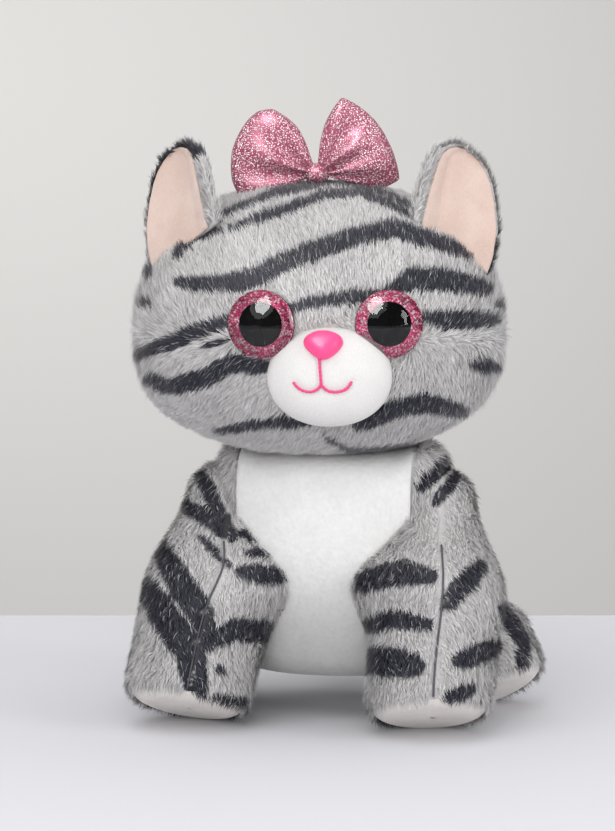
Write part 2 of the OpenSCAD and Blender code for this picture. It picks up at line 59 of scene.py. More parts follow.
# The view that the cat is set up for: a long lens, a little above and to the cat's left.
view = {"azimuth": 10.0, "elevation": 7.0, "distance": 1300.0, "lookAt": (-9.2, 106.5), "high": 299.5}
turnA, turnE = math.radians(view["azimuth"]), math.radians(view["elevation"])
seeRight = np.array([math.cos(turnA), math.sin(turnA), 0.0])
seeAway = np.array([-math.sin(turnA) * math.cos(turnE), math.cos(turnA) * math.cos(turnE), -math.sin(turnE)])
seeUp = np.cross(seeRight, seeAway)


def seen(p):
    # Where a point shows, in millimetres across and up from the neck axis's foot, with perspective.
    q = p - axis
    scale = view["distance"] / (view["distance"] + q @ seeAway)
    x, z = view["lookAt"]
    return (q @ seeRight - x) * scale + x, (q @ seeUp - z) * scale + z


def srgb(code):
    # "#rrggbb" to linear red, green, blue and alpha
    part = [int(code[k:k + 2], 16) / 255 for k in (1, 3, 5)]
    return tuple(c / 12.92 if c <= 0.04045 else ((c + 0.055) / 1.055) ** 2.4 for c in part) + (1.0,)


def unit(v):
    return v / np.maximum(np.linalg.norm(v, axis=-1, keepdims=True), 1e-9)


def smooth(low, high, value):
    t = np.clip((value - low) / (high - low), 0, 1)
    return t * t * (3 - 2 * t)


def power(v, k):
    return np.sign(v) * np.abs(v) ** k


def turnMatrix(axisName, degrees):
    a = math.radians(degrees)
    c, s = math.cos(a), math.sin(a)
    return np.array({"x": [[1, 0, 0], [0, c, -s], [0, s, c]],
                     "y": [[c, 0, s], [0, 1, 0], [-s, 0, c]],
                     "z": [[c, -s, 0], [s, c, 0], [0, 0, 1]]}[axisName])


def wobble(p, size, seed, count=7):
    # Smooth noise from about -1 to 1 as a sum of sines; size is its wavelength in millimetres.
    r = np.random.default_rng(seed)
    total = 0
    for _ in range(count):
        k = unit(r.normal(size=3)) * 2 * math.pi / size * r.uniform(0.6, 1.6)
        total = total + np.sin(p @ k + r.uniform(0, 6.28))
    return total / math.sqrt(count) * 0.8


def wobbles(p, size, seed):
    return np.stack([wobble(p, size, seed + k) for k in range(3)], -1)


class Place:
    # A turned and moved local frame.
    def __init__(self, turn, move):
        self.turn, self.move = turn, np.array(move, float)

    def out(self, p):
        return p @ self.turn.T + self.move

    def into(self, p):
        return (p - self.move) @ self.turn

    def within(self, outer):
        return Place(outer.turn @ self.turn, outer.turn @ self.move + outer.move)


headTurn = turnMatrix("z", cat["headTurn"])
headPlace = Place(headTurn, axis + headTurn @ np.array(cat["headAt"]))


def addObject(name, data):
    obj = bpy.data.objects.new(name, data)
    scene.collection.objects.link(obj)
    return obj


def ringAngles(cols):
    return (2 * math.pi * np.arange(cols) / cols)[None, :]


def endsOf(grid):
    return grid[0].mean(0), grid[-1].mean(0)


def skinMesh(name, grid, caps):
    # A mesh over a grid of points (rows, columns, 3): its columns join round, and a cap closes each end.
    rows, cols = grid.shape[:2]
    points = grid.reshape(-1, 3)
    j, i = np.meshgrid(np.arange(rows - 1), np.arange(cols), indexing="ij")
    a, b = j * cols + i, j * cols + (i + 1) % cols
    faces = np.stack([a, b, b + cols, a + cols], -1).reshape(-1, 4).tolist()
    ring = np.arange(cols)
    following = (ring + 1) % cols
    low = (rows - 1) * cols
    for cap, order in zip(caps, ((following, ring), (low + ring, low + following))):
        points = np.vstack([points, [cap]])
        faces += np.stack([np.full(cols, len(points) - 1), *order], -1).tolist()
    mesh = bpy.data.meshes.new(name)
    mesh.from_pydata((points * mm).tolist(), [], faces)
    mesh.shade_smooth()
    return addObject(name, mesh)


def gridNormals(grid):
    # Outward normals of a closed grid whose columns run anticlockwise round its rows' direction.
    across = np.roll(grid, -1, 1) - np.roll(grid, 1, 1)
    return unit(np.cross(across, np.gradient(grid, axis=0)))


def scatter(grid, normals, count, keep=None):
    # Random roots spread evenly over a closed grid: their places, normals and grid coordinates from 0 to 1.
    closed = np.concatenate([grid, grid[:, :1]], 1)
    closedN = np.concatenate([normals, normals[:, :1]], 1)
    base = closed[:-1, :-1]
    area = np.linalg.norm(np.cross(closed[1:, :-1] - base, closed[:-1, 1:] - base), axis=-1)
    if keep is not None:
        middle = (closed[1:, :-1] + closed[:-1, 1:]) / 2
        area = area * keep(middle.reshape(-1, 3)).reshape(area.shape)
    total = np.cumsum(area.ravel())
    pick = np.minimum(np.searchsorted(total, rng.uniform(0, total[-1], count)), len(total) - 1)
    j, i = np.divmod(pick, area.shape[1])
    u, v = rng.uniform(0, 1, (2, count))
    weights = [(1 - v) * (1 - u), (1 - v) * u, v * (1 - u), v * u]
    corners = [(j, i), (j, i + 1), (j + 1, i), (j + 1, i + 1)]
    p = sum(w[:, None] * closed[c] for w, c in zip(weights, corners))
    n = unit(sum(w[:, None] * closedN[c] for w, c in zip(weights, corners)))
    uv = np.stack([(i + u) / area.shape[1], (j + v) / area.shape[0]], -1)
    return p, n, uv


def readAll(items, name):
    values = np.empty(len(items) * 3, np.float32)
    items.foreach_get(name, values)
    return values.reshape(-1, 3)


def addColours(mesh, values):
    layer = mesh.attributes.new("pile", "FLOAT_COLOR", "POINT")
    layer.data.foreach_set("color", np.ascontiguousarray(values, np.float32).ravel())


# The plush pile, in millimetres and degrees from the cloth: rise and spread are at the root and at the tip.
pile = {"length": 4.4, "lengths": (0.65, 1.15), "width": 0.3, "widths": (0.7, 1.3), "rise": (46, 14),
        "spread": (8, 9), "jitter": 0.2, "shadeJitter": 0.12, "printAt": 0.55, "rootIn": 0.3, "overTable": 0.2}


def furMesh(name, p, n, comb, uv, printed, scale=1.0, longer=1.0):
    # Tapering blades of three triangles. printed gives the print at a point, taken where a blade shows.
    count = len(p)
    side = unit(np.cross(n, comb))
    comb = unit(comb + side * rng.normal(0, pile["jitter"], count)[:, None])
    length = pile["length"] * longer * rng.uniform(*pile["lengths"], count) * scale
    rise = np.radians(pile["rise"][0] + rng.normal(0, pile["spread"][0], count))
    fall = np.radians(pile["rise"][1] + rng.normal(0, pile["spread"][1], count))
    first = comb * np.cos(rise)[:, None] + n * np.sin(rise)[:, None]
    second = comb * np.cos(fall)[:, None] + n * np.sin(fall)[:, None]
    root = p - pile["rootIn"] * n
    middle = root + first * (0.5 * length)[:, None]
    tip = middle + second * (0.5 * length)[:, None]
    mask = printed(p + (tip - root) * pile["printAt"], n)
    side = unit(np.cross(first, n))
    half = (pile["width"] / 2 * rng.uniform(*pile["widths"], count))[:, None]
    points = np.stack([root - side * half, root + side * half, middle + side * half * 0.8,
                       middle - side * half * 0.8, tip], 1)
    # The pile is pressed flat where it meets the table.
    points[..., 2] = np.maximum(points[..., 2], pile["overTable"])
    loops = np.empty((count, 7), np.int32)
    start = np.arange(count) * 5
    loops[:, :4] = start[:, None] + np.array([0, 1, 2, 3])
    loops[:, 4:] = start[:, None] + np.array([3, 2, 4])
    mesh = bpy.data.meshes.new(name)
    mesh.vertices.add(count * 5)
    mesh.vertices.foreach_set("co", (points * mm).astype(np.float32).ravel())
    mesh.loops.add(count * 7)
    mesh.loops.foreach_set("vertex_index", loops.ravel())
    mesh.polygons.add(count * 2)
    starts = (np.arange(count)[:, None] * 7 + np.array([0, 4])).ravel()
    mesh.polygons.foreach_set("loop_start", starts.astype(np.int32))
    mesh.update(calc_edges=True)
    mesh.shade_smooth()
    colours = np.ones((count, 5, 4), np.float32)
    colours[:, :, 0] = mask[:, None]
    colours[:, :, 1] = rng.uniform(0, 1, count)[:, None]
    colours[:, :, 2] = np.array([0, 0, 0.5, 0.5, 1])
    addColours(mesh, colours.reshape(-1, 4))
    # Each blade takes its root's place on the skin in the colour map, a hair's width wide.
    layer = mesh.uv_layers.new(name="OFBake")
    hair = 0.0012 * np.array([[0, 0], [1, 0], [1, 1], [0, 1], [0, 1], [1, 1], [0.5, 2]])
    layer.data.foreach_set("uv", (uv[:, None, :] * 0.98 + 0.01 + hair).astype(np.float32).ravel())
    shade = unit(n + 0.3 * second + rng.normal(0, pile["shadeJitter"], (count, 3)))
    mesh.normals_split_custom_set_from_vertices(np.repeat(shade, 5, 0).tolist())
    return addObject(name, mesh)


def newMaterial(name):
    material = bpy.data.materials.new(name)
    material.use_nodes = True
    return material, material.node_tree, material.node_tree.nodes["Principled BSDF"]


def setInputs(tree, node, inputs):
    # Each value is a constant or another node's output socket.
    for key, value in inputs.items():
        if isinstance(value, bpy.types.NodeSocket):
            tree.links.new(value, node.inputs[key])
        else:
            node.inputs[key].default_value = value


def addNode(tree, kind, settings=None, inputs=None):
    node = tree.nodes.new("ShaderNode" + kind)
    for key, value in (settings or {}).items():
        setattr(node, key, value)
    setInputs(tree, node, inputs or {})
    return node


def mixColours(tree, amount, a, b, kind="MIX"):
    node = addNode(tree, "Mix", {"data_type": "RGBA", "blend_type": kind}, {0: amount, 6: a, 7: b})
    return node.outputs[2]


def ramp(tree, factor, stops):
    # stops pairs places with greys or colours.
    node = addNode(tree, "ValToRGB", inputs={"Fac": factor})
    elements = node.color_ramp.elements
    while len(elements) < len(stops):
        elements.new(0.5)
    for element, (place, colour) in zip(elements, stops):
        element.position = place
        element.color = srgb(colour) if isinstance(colour, str) else (colour, colour, colour, 1)
    return node.outputs["Color"]


def objectPlace(tree):
    return addNode(tree, "TexCoord").outputs["Object"]


def plushMaterial(name, light, shade, dark, darkTip):
    # Long-pile polyester plush: every blade carries its print, a random number and its height.
    material, tree, shader = newMaterial(name)
    blade = addNode(tree, "Attribute", {"attribute_name": "pile"}).outputs["Color"]
    split = addNode(tree, "SeparateColor", inputs={"Color": blade}).outputs
    cloud = addNode(tree, "TexNoise", inputs={"Vector": objectPlace(tree), "Scale": 55.0, "Detail": 3.0})
    blotch = ramp(tree, cloud.outputs["Fac"], [(0.35, 0.9), (0.65, 1.05)])
    own = ramp(tree, split["Green"], [(0.0, 0.84), (0.5, 0.98), (1.0, 1.08)])
    height = ramp(tree, split["Blue"], [(0.0, 0.76), (0.55, 0.98), (1.0, 1.04)])
    grey = mixColours(tree, split["Green"], srgb(shade), srgb(light))
    black = mixColours(tree, split["Blue"], srgb(dark), srgb(darkTip))
    toned = mixColours(tree, split["Red"], grey, black)
    for factor in (own, height, blotch):
        toned = mixColours(tree, 1.0, toned, factor, "MULTIPLY")
    setInputs(tree, shader, {"Base Color": toned, "Roughness": 0.6, "Sheen Weight": 0.2,
                             "Sheen Roughness": 0.4, "Specular IOR Level": 0.2})
    return material


def clothMaterial(name, colour, dark, nap, depth, sheen):
    # Velour or short plush: a nap of a size and depth in millimetres, with its tone drifting over the cloth.
    material, tree, shader = newMaterial(name)
    place = objectPlace(tree)
    fine = addNode(tree, "TexNoise", inputs={
        "Vector": place, "Scale": 500 / nap, "Detail": 3.0, "Roughness": 0.6}).outputs["Fac"]
    drift = addNode(tree, "TexNoise", inputs={"Vector": place, "Scale": 90.0, "Detail": 2.0}).outputs["Fac"]
    bump = addNode(tree, "Bump", inputs={"Height": fine, "Strength": 0.5, "Distance": depth * mm})
    tone = mixColours(tree, ramp(tree, drift, [(0.3, 0.0), (0.7, 1.0)]), srgb(dark), srgb(colour))
    tone = mixColours(tree, 1.0, tone, ramp(tree, fine, [(0.3, 0.94), (0.7, 1.03)]), "MULTIPLY")
    setInputs(tree, shader, {"Base Color": tone, "Roughness": 0.85, "Normal": bump.outputs["Normal"],
                             "Sheen Weight": sheen, "Sheen Roughness": 0.5, "Specular IOR Level": 0.15})
    return material


def plainMaterial(name, colour, roughness, specular=0.2, coat=0.0):
    material, tree, shader = newMaterial(name)
    setInputs(tree, shader, {"Base Color": srgb(colour), "Roughness": roughness,
                             "Specular IOR Level": specular, "Coat Weight": coat, "Coat Roughness": 0.15})
    return material


def glitterMaterial(name, flake, tilt, stops):
    # Flakes of one size in millimetres, each with its own tone and tilt.
    material, tree, shader = newMaterial(name)
    cells = addNode(tree, "TexVoronoi", inputs={"Vector": objectPlace(tree), "Scale": 1000 / flake})
    tone = addNode(tree, "SeparateColor", inputs={"Color": cells.outputs["Color"]}).outputs
    facing = addNode(tree, "NewGeometry").outputs["Normal"]
    lean = addNode(tree, "VectorMath", {"operation": "SUBTRACT"},
                   {0: cells.outputs["Color"], 1: (0.5, 0.5, 0.5)}).outputs["Vector"]
    leaned = addNode(tree, "VectorMath", {"operation": "SCALE"}, {0: lean, "Scale": tilt}).outputs["Vector"]
    normal = addNode(tree, "VectorMath", {"operation": "ADD"}, {0: facing, 1: leaned}).outputs["Vector"]
    setInputs(tree, shader, {"Base Color": ramp(tree, tone["Red"], stops), "Roughness": 0.38,
                             "Specular IOR Level": 0.25, "Normal": normal})
    return material


def knitMaterial(name, pitch, deep, base, spark):
    # Metallic knit: shining dots of a pitch in millimetres on a deeper ground, unevenly bright.
    material, tree, shader = newMaterial(name)
    place = objectPlace(tree)
    cells = addNode(tree, "TexVoronoi", inputs={"Vector": place, "Scale": 1000 / pitch, "Randomness": 0.8})
    tone = addNode(tree, "SeparateColor", inputs={"Color": cells.outputs["Color"]}).outputs
    ground = ramp(tree, cells.outputs["Distance"], [(0.2, base), (0.6, deep)])
    dot = ramp(tree, cells.outputs["Distance"], [(0.2, 1.0), (0.5, 0.0)])
    bright = ramp(tree, tone["Green"], [(0.1, 0.1), (0.6, 1.0)])
    lit = mixColours(tree, 1.0, dot, bright, "MULTIPLY")
    bump = addNode(tree, "Bump", inputs={"Height": dot, "Strength": 0.7, "Distance": 0.25 * mm})
    setInputs(tree, shader, {"Base Color": mixColours(tree, lit, ground, srgb(spark)), "Metallic": 0.25,
                             "Roughness": 0.36, "Normal": bump.outputs["Normal"]})
    return material


def domeMaterial(name):
    # Clear polished acrylic: light goes straight through, and the surface mirrors more towards its rim.
    material, tree, shader = newMaterial(name)
    clear = addNode(tree, "BsdfTransparent").outputs[0]
    mirror = addNode(tree, "BsdfGlossy", inputs={"Roughness": 0.03}).outputs[0]
    share = addNode(tree, "Fresnel", inputs={"IOR": 1.49}).outputs[0]
    both = addNode(tree, "MixShader", inputs={0: share, 1: clear, 2: mirror}).outputs[0]
    tree.links.new(both, tree.nodes["Material Output"].inputs["Surface"])
    tree.nodes.remove(shader)
    return material


def paintShadeLow(material, low, high, tone):
    # Paints shade into a cloth's colour, darker towards its lower end. low and high are in millimetres.
    tree = material.node_tree
    shader = tree.nodes["Principled BSDF"]
    height = addNode(tree, "SeparateXYZ", inputs={"Vector": objectPlace(tree)}).outputs["Z"]
    amount = addNode(tree, "MapRange", {"interpolation_type": "SMOOTHSTEP"}, {
        "Value": height, "From Min": low * mm, "From Max": high * mm, "To Min": tone}).outputs["Result"]
    colour = shader.inputs["Base Color"].links[0].from_socket
    setInputs(tree, shader, {"Base Color": mixColours(tree, 1.0, colour, amount, "MULTIPLY")})


# The cat's coat: grey plush, printed with charcoal stripes.
plush = plushMaterial("longPilePlush", "#dddbd9", "#c6c4c4", "#1e1e26", "#44444f")
# The bib: short white minky plush.
whitePlush = clothMaterial("shortWhitePlush", "#dfdedd", "#d9d8d6", nap=0.9, depth=0.6, sheen=0.3)
# Painted shade: the bib's lower belly, under the chest and between the legs, is darkened in its colour.
paintShadeLow(whitePlush, low=18, high=66, tone=0.58)
# The muzzle: white velour with a very short pile.
muzzleVelour = clothMaterial("whiteVelour", "#d9d7d5", "#d5d3d1", nap=0.35, depth=0.1, sheen=0.2)
# Soles: cream velour.
soleVelour = clothMaterial("creamVelour", "#ddd8d3", "#d5cfc9", nap=0.4, depth=0.2, sheen=0.3)
# Ear linings: peach velour with a brushed nap.
earVelour = clothMaterial("peachVelour", "#d2bdb2", "#c8afa3", nap=0.4, depth=0.25, sheen=0.3)
# The nose: soft vinyl, dyed pink.
noseVinyl = plainMaterial("pinkVinyl", "#f54c88", 0.42, specular=0.3, coat=0.1)
# The mouth and the bow's tack: rayon embroidery thread.
mouthThread = plainMaterial("pinkThread", "#e0457f", 0.6)
# The seams' ladder stitching: grey polyester thread.
greyThread = plainMaterial("greyThread", "#55555b", 0.8)
# The eyes: glitter flakes in lacquer, black pupil, black moulded back, clear dome.
eyeGlitter = glitterMaterial("pinkGlitter", flake=0.44, tilt=0.3, stops=[
    (0.0, "#c0185a"), (0.35, "#f03c80"), (0.72, "#ff78aa"), (0.88, "#ffffff")])
eyeBlack = plainMaterial("blackLacquer", "#040405", 0.25, specular=0.15)
eyeBack = plainMaterial("blackPlastic", "#141416", 0.4)
eyeDome = domeMaterial("clearAcrylic")
# The bow: metallic pink knit.
bowKnit = knitMaterial("metallicKnit", pitch=0.66, deep="#a4516a", base="#cc8c9c", spark="#fffafb")

# Each stripe follows a few points, in millimetres across and up as the cat is seen, and has a width.
headStripes = [
    ([(-45, 176), (-33, 182), (-20, 187), (0, 191), (15, 188), (28, 182)], 3.2),
    ([(-37, 174), (-22, 179), (-3, 186), (10, 187), (30, 178)], 3.6),
    ([(-57, 164), (-51, 171), (-40, 173)], 3.8),
    ([(-55, 154), (-40, 154), (-29, 156), (-12, 164), (6, 170), (21, 174), (34, 170), (49, 165)], 6.6),
    ([(-16, 145), (-8, 147), (6, 149), (17, 151)], 4.8),
    ([(20, 151), (29, 156), (43, 155), (55, 152)], 7.8),
    ([(33, 142), (43, 141), (58, 141)], 6.2),
    ([(-35, 142), (-49, 137), (-58, 133), (-71, 128)], 5.4),
    ([(-47, 131), (-38, 134)], 2.2),
    ([(-23, 124), (-37, 125), (-46, 120), (-58, 117), (-66, 120)], 6.4),
    ([(-42, 101), (-31, 103), (-18, 104), (-9, 103)], 3.6),
    ([(9, 103), (22, 109), (34, 111), (47, 108)], 6.8),
    ([(-3, 99), (6, 94), (24, 95), (34, 97)], 2.2),
    ([(50, 125), (59, 124)], 5.0),
    ([(-68, 160), (-66, 157)], 4.0),
    ([(-69, 147), (-66, 147)], 4.0),
    ([(59, 146), (62, 146)], 4.0),
]
bodyStripes = [
    ([(-33, 93), (-32, 91)], 4.0),
    ([(-49, 87), (-41, 72), (-36, 62)], 5.4),
    ([(-55, 75), (-43, 68), (-37, 63)], 6.0),
    ([(-48, 63), (-37, 52)], 3.0),
    ([(-62, 58), (-55, 46), (-47, 34), (-46, 24)], 9.5),
    ([(-67, 45), (-60, 33), (-52, 22), (-49, 6)], 10.5),
    ([(-34, 64), (-22, 63)], 4.4),
    ([(-31, 57), (-18, 57)], 3.4),
    ([(-33, 50), (-17, 48)], 6.4),
    ([(-43, 25), (-36, 29), (-25, 29), (-19, 24)], 8.0),
    ([(-41, 15), (-40, 14)], 4.0),
    ([(-48, 2), (-32, 3)], 5.6),
    ([(8, 45), (16, 48), (26, 50), (35, 48)], 8.4),
    ([(11, 30), (22, 33), (34, 31)], 6.4),
    ([(9, 18), (17, 18), (30, 16)], 10.5),
    ([(31, 80), (43, 91)], 4.6),
    ([(45, 85), (37, 75)], 4.6),
    ([(53, 52), (41, 38)], 7.4),
    ([(59, 23), (45, 18)], 7.4),
    ([(50, 8), (41, 4)], 5.0),
    ([(61, 37), (69, 24)], 6.0),
    ([(69, 24), (68, 15)], 5.0),
]


# The print's edges, in millimetres, and its share of stray fibres.
printing = {"wander": 0.35, "fray": 0.28, "soft": 0.3, "straysInDark": 0.07, "straysInGrey": 0.01,
            "behindFrom": 0.12}


def stripeEdge(p, stripes):
    # How far inside a stripe a point shows, in millimetres. The edges wander and a stripe tapers to its ends.
    x, z = seen(p)
    wander = 0.9 * wobble(p, 9.0, 3) + 0.5 * wobble(p, 3.5, 4)
    best = np.full(len(x), -9.0)
    at = np.stack([x, z], -1)
    for points, width in stripes:
        q = np.array(points, float)
        step = np.diff(q, axis=0)
        sizes = np.linalg.norm(step, axis=1)
        run = 0.0
        for k in range(len(step)):
            t = np.clip(((at - q[k]) @ step[k]) / sizes[k] ** 2, 0, 1)
            gap = np.linalg.norm(at - q[k] - t[:, None] * step[k], axis=1)
            along = (run + t * sizes[k]) / sizes.sum()
            half = width / 2 * (0.66 + 0.44 * np.sin(math.pi * along) ** 0.6)
            best = np.maximum(best, half + printing["wander"] * wander * min(1.0, width / 4) - gap)
            run += sizes[k]
    return best


def bandEdge(p, place, spacing, seed):
    # Stripes for the sides that face away: uneven bands across the limb or head, some of them broken.
    level = place.into(p)[:, 2] + 3.5 * wobble(p, 45.0, seed) + 0.8 * wobble(p, 11.0, seed + 1)
    phase = (level / spacing) % 1.0
    return (0.2 + 0.12 * wobble(p, 30.0, seed + 2) - np.abs(phase - 0.5)) * spacing


def coatPrint(place, stripes, spacing, seed):
    # A function for the print at a point: the drawn stripes in front and bands behind, with stray fibres.
    def printed(p, n):
        front, back = stripeEdge(p, stripes), bandEdge(p, place, spacing, seed)
        signed = np.where(n @ seeAway < printing["behindFrom"], front, back)
        mask = smooth(-printing["soft"], printing["soft"], signed + rng.normal(0, printing["fray"], len(p)))
        stray = rng.uniform(0, 1, len(p))
        mask = np.where((mask > 0.5) & (stray < printing["straysInDark"]), 0.45, mask)
        return np.where((mask < 0.5) & (stray > 1 - printing["straysInGrey"]), 0.5, mask)
    return printed


def skinColours(obj, printed):
    # The cloth under the pile carries the same print.
    p, n = readAll(obj.data.vertices, "co") / mm, readAll(obj.data.vertices, "normal")
    values = np.tile([0, 0.4, 0.3, 1], (len(p), 1))
    values[:, 0] = printed(p, n)
    addColours(obj.data, values)


def finishPiece(obj, body, slot, material=None, nodes=()):
    if material is not None:
        obj.data.materials.append(material)
    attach(obj, body)
    if nodes:
        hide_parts(*nodes)
    return obj


def twoCloths(obj, second, chosen):
    # Gives the faces that chosen picks by their centres the second cloth.
    obj.data.materials.append(plush)
    obj.data.materials.append(second)
    picked = chosen(readAll(obj.data.polygons, "center") / mm)
    obj.data.polygons.foreach_set("material_index", picked.astype(np.int32))


def onCloth(lean, n):
    return unit(lean - n * np.sum(lean * n, 1, keepdims=True))


head = {"faceBlades": 58000, "faceParts": 2, "backBlades": 58000, "seamY": 2.0, "bands": (15.0, 31),
        "bareBelow": -39.6, "cheeksFuller": 0.5, "tufts": 0.18}
eyes = {"at": ((-19.8, 8.0), (23.4, 8.0)), "bare": 10.7, "shortTo": 14.0}
muzzle = {"at": (3.4, -46.0, -10.0), "half": (21.4, 12.6, 17.2), "power": 2.1, "bare": 0.95, "shortTo": 1.12}


def headSurface(direction):
    # The head's surface along unit directions, in its own frame, and the outward normal.
    a, b, up, down = cat["headHalf"]
    plan, skull, jaw = cat["headPowers"]
    q = np.where(direction[..., 2] < 0, jaw, skull)
    c = np.where(direction[..., 2] < 0, down, up)
    x, y, z = np.abs(direction[..., 0]) / a, np.abs(direction[..., 1]) / b, np.abs(direction[..., 2]) / c
    size = ((x ** plan + y ** plan) ** (q / plan) + z ** q) ** (-1 / q)
    x, y, z = x * size, y * size, z * size
    common = np.maximum(x ** plan + y ** plan, 1e-9) ** (q / plan - 1)
    normal = np.stack([common * x ** (plan - 1) / a, common * y ** (plan - 1) / b, z ** (q - 1) / c], -1)
    return direction * size[..., None], unit(normal * np.sign(direction))


def sphereGrid(rows, cols):
    f, t = np.radians(np.linspace(-89, 89, rows))[:, None], ringAngles(cols)
    return np.stack([np.cos(f) * np.cos(t), np.cos(f) * np.sin(t), np.sin(f) + 0 * t], -1)


localGrid, localNormal = headSurface(sphereGrid(120, 200))
headGrid = headPlace.out(localGrid)
headNormals = localNormal @ headPlace.turn.T
poles = headPlace.out(headSurface(np.array([[0, 0, -1.0], [0, 0, 1.0]]))[0])
headPrint = coatPrint(headPlace, headStripes, *head["bands"])
headSkin = skinMesh("headSkin", headGrid, caps=poles)
skinColours(headSkin, headPrint)
finishPiece(headSkin, "head", "grey_plush", plush,
            ["head_face_cover", "head_back_cover", "head_filling"])


def bareRoom(local):
    # Below 1 where an eye or the muzzle leaves no pile, above 2 where the pile is full.
    x, y, z = local.T
    room = np.full(len(x), 3.0)
    for ex, ez in eyes["at"]:
        far = np.hypot(x - ex, z - ez)
        room = np.minimum(room, 1 + (far - eyes["bare"]) / (eyes["shortTo"] - eyes["bare"]))
    far = np.hypot((x - muzzle["at"][0]) / muzzle["half"][0], (z - muzzle["at"][2]) / muzzle["half"][2])
    room = np.minimum(room, 1 + (far - muzzle["bare"]) / (muzzle["shortTo"] - muzzle["bare"]))
    return np.where(y < 0, room, 3.0)


def headComb(p, n, local):
    # The pile stands up the forehead, slants down and outwards over the cheeks and turns back over the crown.
    x, y, z = local.T
    low = smooth(12, -8, z)
    lean = np.stack([-0.22 - 0.3 * low + 0.3 * x / 60, 0.3 + 0.3 * smooth(15, 45, z), 1.0 - 2.0 * low], -1)
    lean = lean @ headPlace.turn.T + 0.22 * wobbles(p, 26.0, 11) + 0.2 * wobbles(p, 4.5, 14)
    return onCloth(lean, n)


def growHead(name, count, front):
    def wanted(p):
        y = headPlace.into(p)[:, 1]
        return (y < head["seamY"]) if front else (y >= head["seamY"])
    p, n, uv = scatter(headGrid, headNormals, count, keep=wanted)
    local = headPlace.into(p)
    room = bareRoom(local)
    out = (room > 1) & (local[:, 2] > head["bareBelow"])
    p, n, uv, local, room = p[out], n[out], uv[out], local[out], room[out]
    seamGap = np.abs(local[:, 1] - head["seamY"])
    scale = np.clip(room - 0.62, 0.38, 1.0) * (0.7 + 0.3 * smooth(0, 2, seamGap))
    # The pile stands fuller over the cheeks and in tufts.
    cheek = smooth(0.7, 1.0, np.abs(local[:, 0]) / cat["headHalf"][0])
    scale *= 1 + head["cheeksFuller"] * cheek + head["tufts"] * wobble(p, 9.0, 17)
    obj = furMesh(name, p, n, headComb(p, n, local), uv, headPrint, scale)
    return finishPiece(obj, "head", "grey_plush", plush)


for part in range(head["faceParts"]):
    growHead(f"faceFur{part + 1}", head["faceBlades"], True)
growHead("headBackFur", head["backBlades"], False)
print("head done")


def muzzleGrid(rows, cols):
    # A closed puffed oval in the head's frame, with its poles to the front and the back.
    d = sphereGrid(rows, cols)
    d = np.stack([d[..., 0], -d[..., 2], d[..., 1]], -1)
    a, b, c = muzzle["half"]
    q = muzzle["power"]
    size = (np.abs(d[..., 0] / a) ** q + np.abs(d[..., 1] / b) ** q + np.abs(d[..., 2] / c) ** q) ** (-1 / q)
    return d * size[..., None] + np.array(muzzle["at"])


def muzzleFront(x, z):
    a, b, c = muzzle["half"]
    q = muzzle["power"]
    rest = 1 - np.abs((x - muzzle["at"][0]) / a) ** q - np.abs((z - muzzle["at"][2]) / c) ** q
    return muzzle["at"][1] - b * np.maximum(rest, 0) ** (1 / q)


def onMuzzle(across, up):
    # The point of the muzzle, in the head's frame, that shows at a given place, found from a near guess.
    x, z = across + 4.0, up - 129.0
    for _ in range(12):
        sx, sz = seen(headPlace.out(np.array([x, muzzleFront(x, z), z])))
        x, z = x + 0.8 * (across - sx), z + 0.8 * (up - sz)
    return np.array([x, float(muzzleFront(x, z)), z])


mouth = {"stem": [(-4.9, 127.0), (-4.8, 124.0), (-4.5, 120.4), (-4.3, 117.2)],
         "line": [(-14.3, 118.4), (-13.0, 116.8), (-10.8, 115.4), (-8.0, 115.0), (-5.8, 115.8), (-4.3, 117.2),
                  (-2.6, 115.8), (-0.4, 115.0), (2.4, 115.1), (5.0, 116.2), (6.7, 118.6)],
         "thick": 0.9, "stitch": 1.3, "groove": 0.45, "grooveWide": 1.6, "step": 0.3, "proud": 0.12}


def finePath(points, step):
    # A smooth path through the points (Catmull-Rom), with an even step.
    q = np.array(points, float)
    q = np.vstack([2 * q[0] - q[1], q, 2 * q[-1] - q[-2]])
    t = np.linspace(0, 1, 12, endpoint=False)[:, None]
    pieces = [0.5 * (2 * b + (c - a) * t + (2 * a - 5 * b + 4 * c - d) * t ** 2
                     + (3 * b - a - 3 * c + d) * t ** 3) for a, b, c, d in zip(q[:-3], q[1:-2], q[2:-1], q[3:])]
    path = np.vstack(pieces + [q[-2:-1]])
    run = np.concatenate([[0], np.cumsum(np.linalg.norm(np.diff(path, axis=0), axis=1))])
    even = np.linspace(0, run[-1], max(3, int(run[-1] / step)))
    return np.stack([np.interp(even, run, path[:, k]) for k in range(path.shape[1])], -1)


def tubeMesh(name, path, radius, cols=10):
    # A round thread along a path, closed at its ends; radius is one number or one for each point.
    tangent = unit(np.gradient(path, axis=0))
    side = unit(np.cross(tangent, np.array([0.11, 0.93, 0.21])))
    lift = np.cross(side, tangent)
    t = ringAngles(cols)[..., None]
    r = np.broadcast_to(radius, len(path))[:, None, None]
    grid = path[:, None] + r * (side[:, None] * np.cos(t) - lift[:, None] * np.sin(t))
    return skinMesh(name, grid, (path[0] - tangent[0] * 0.3, path[-1] + tangent[-1] * 0.3))


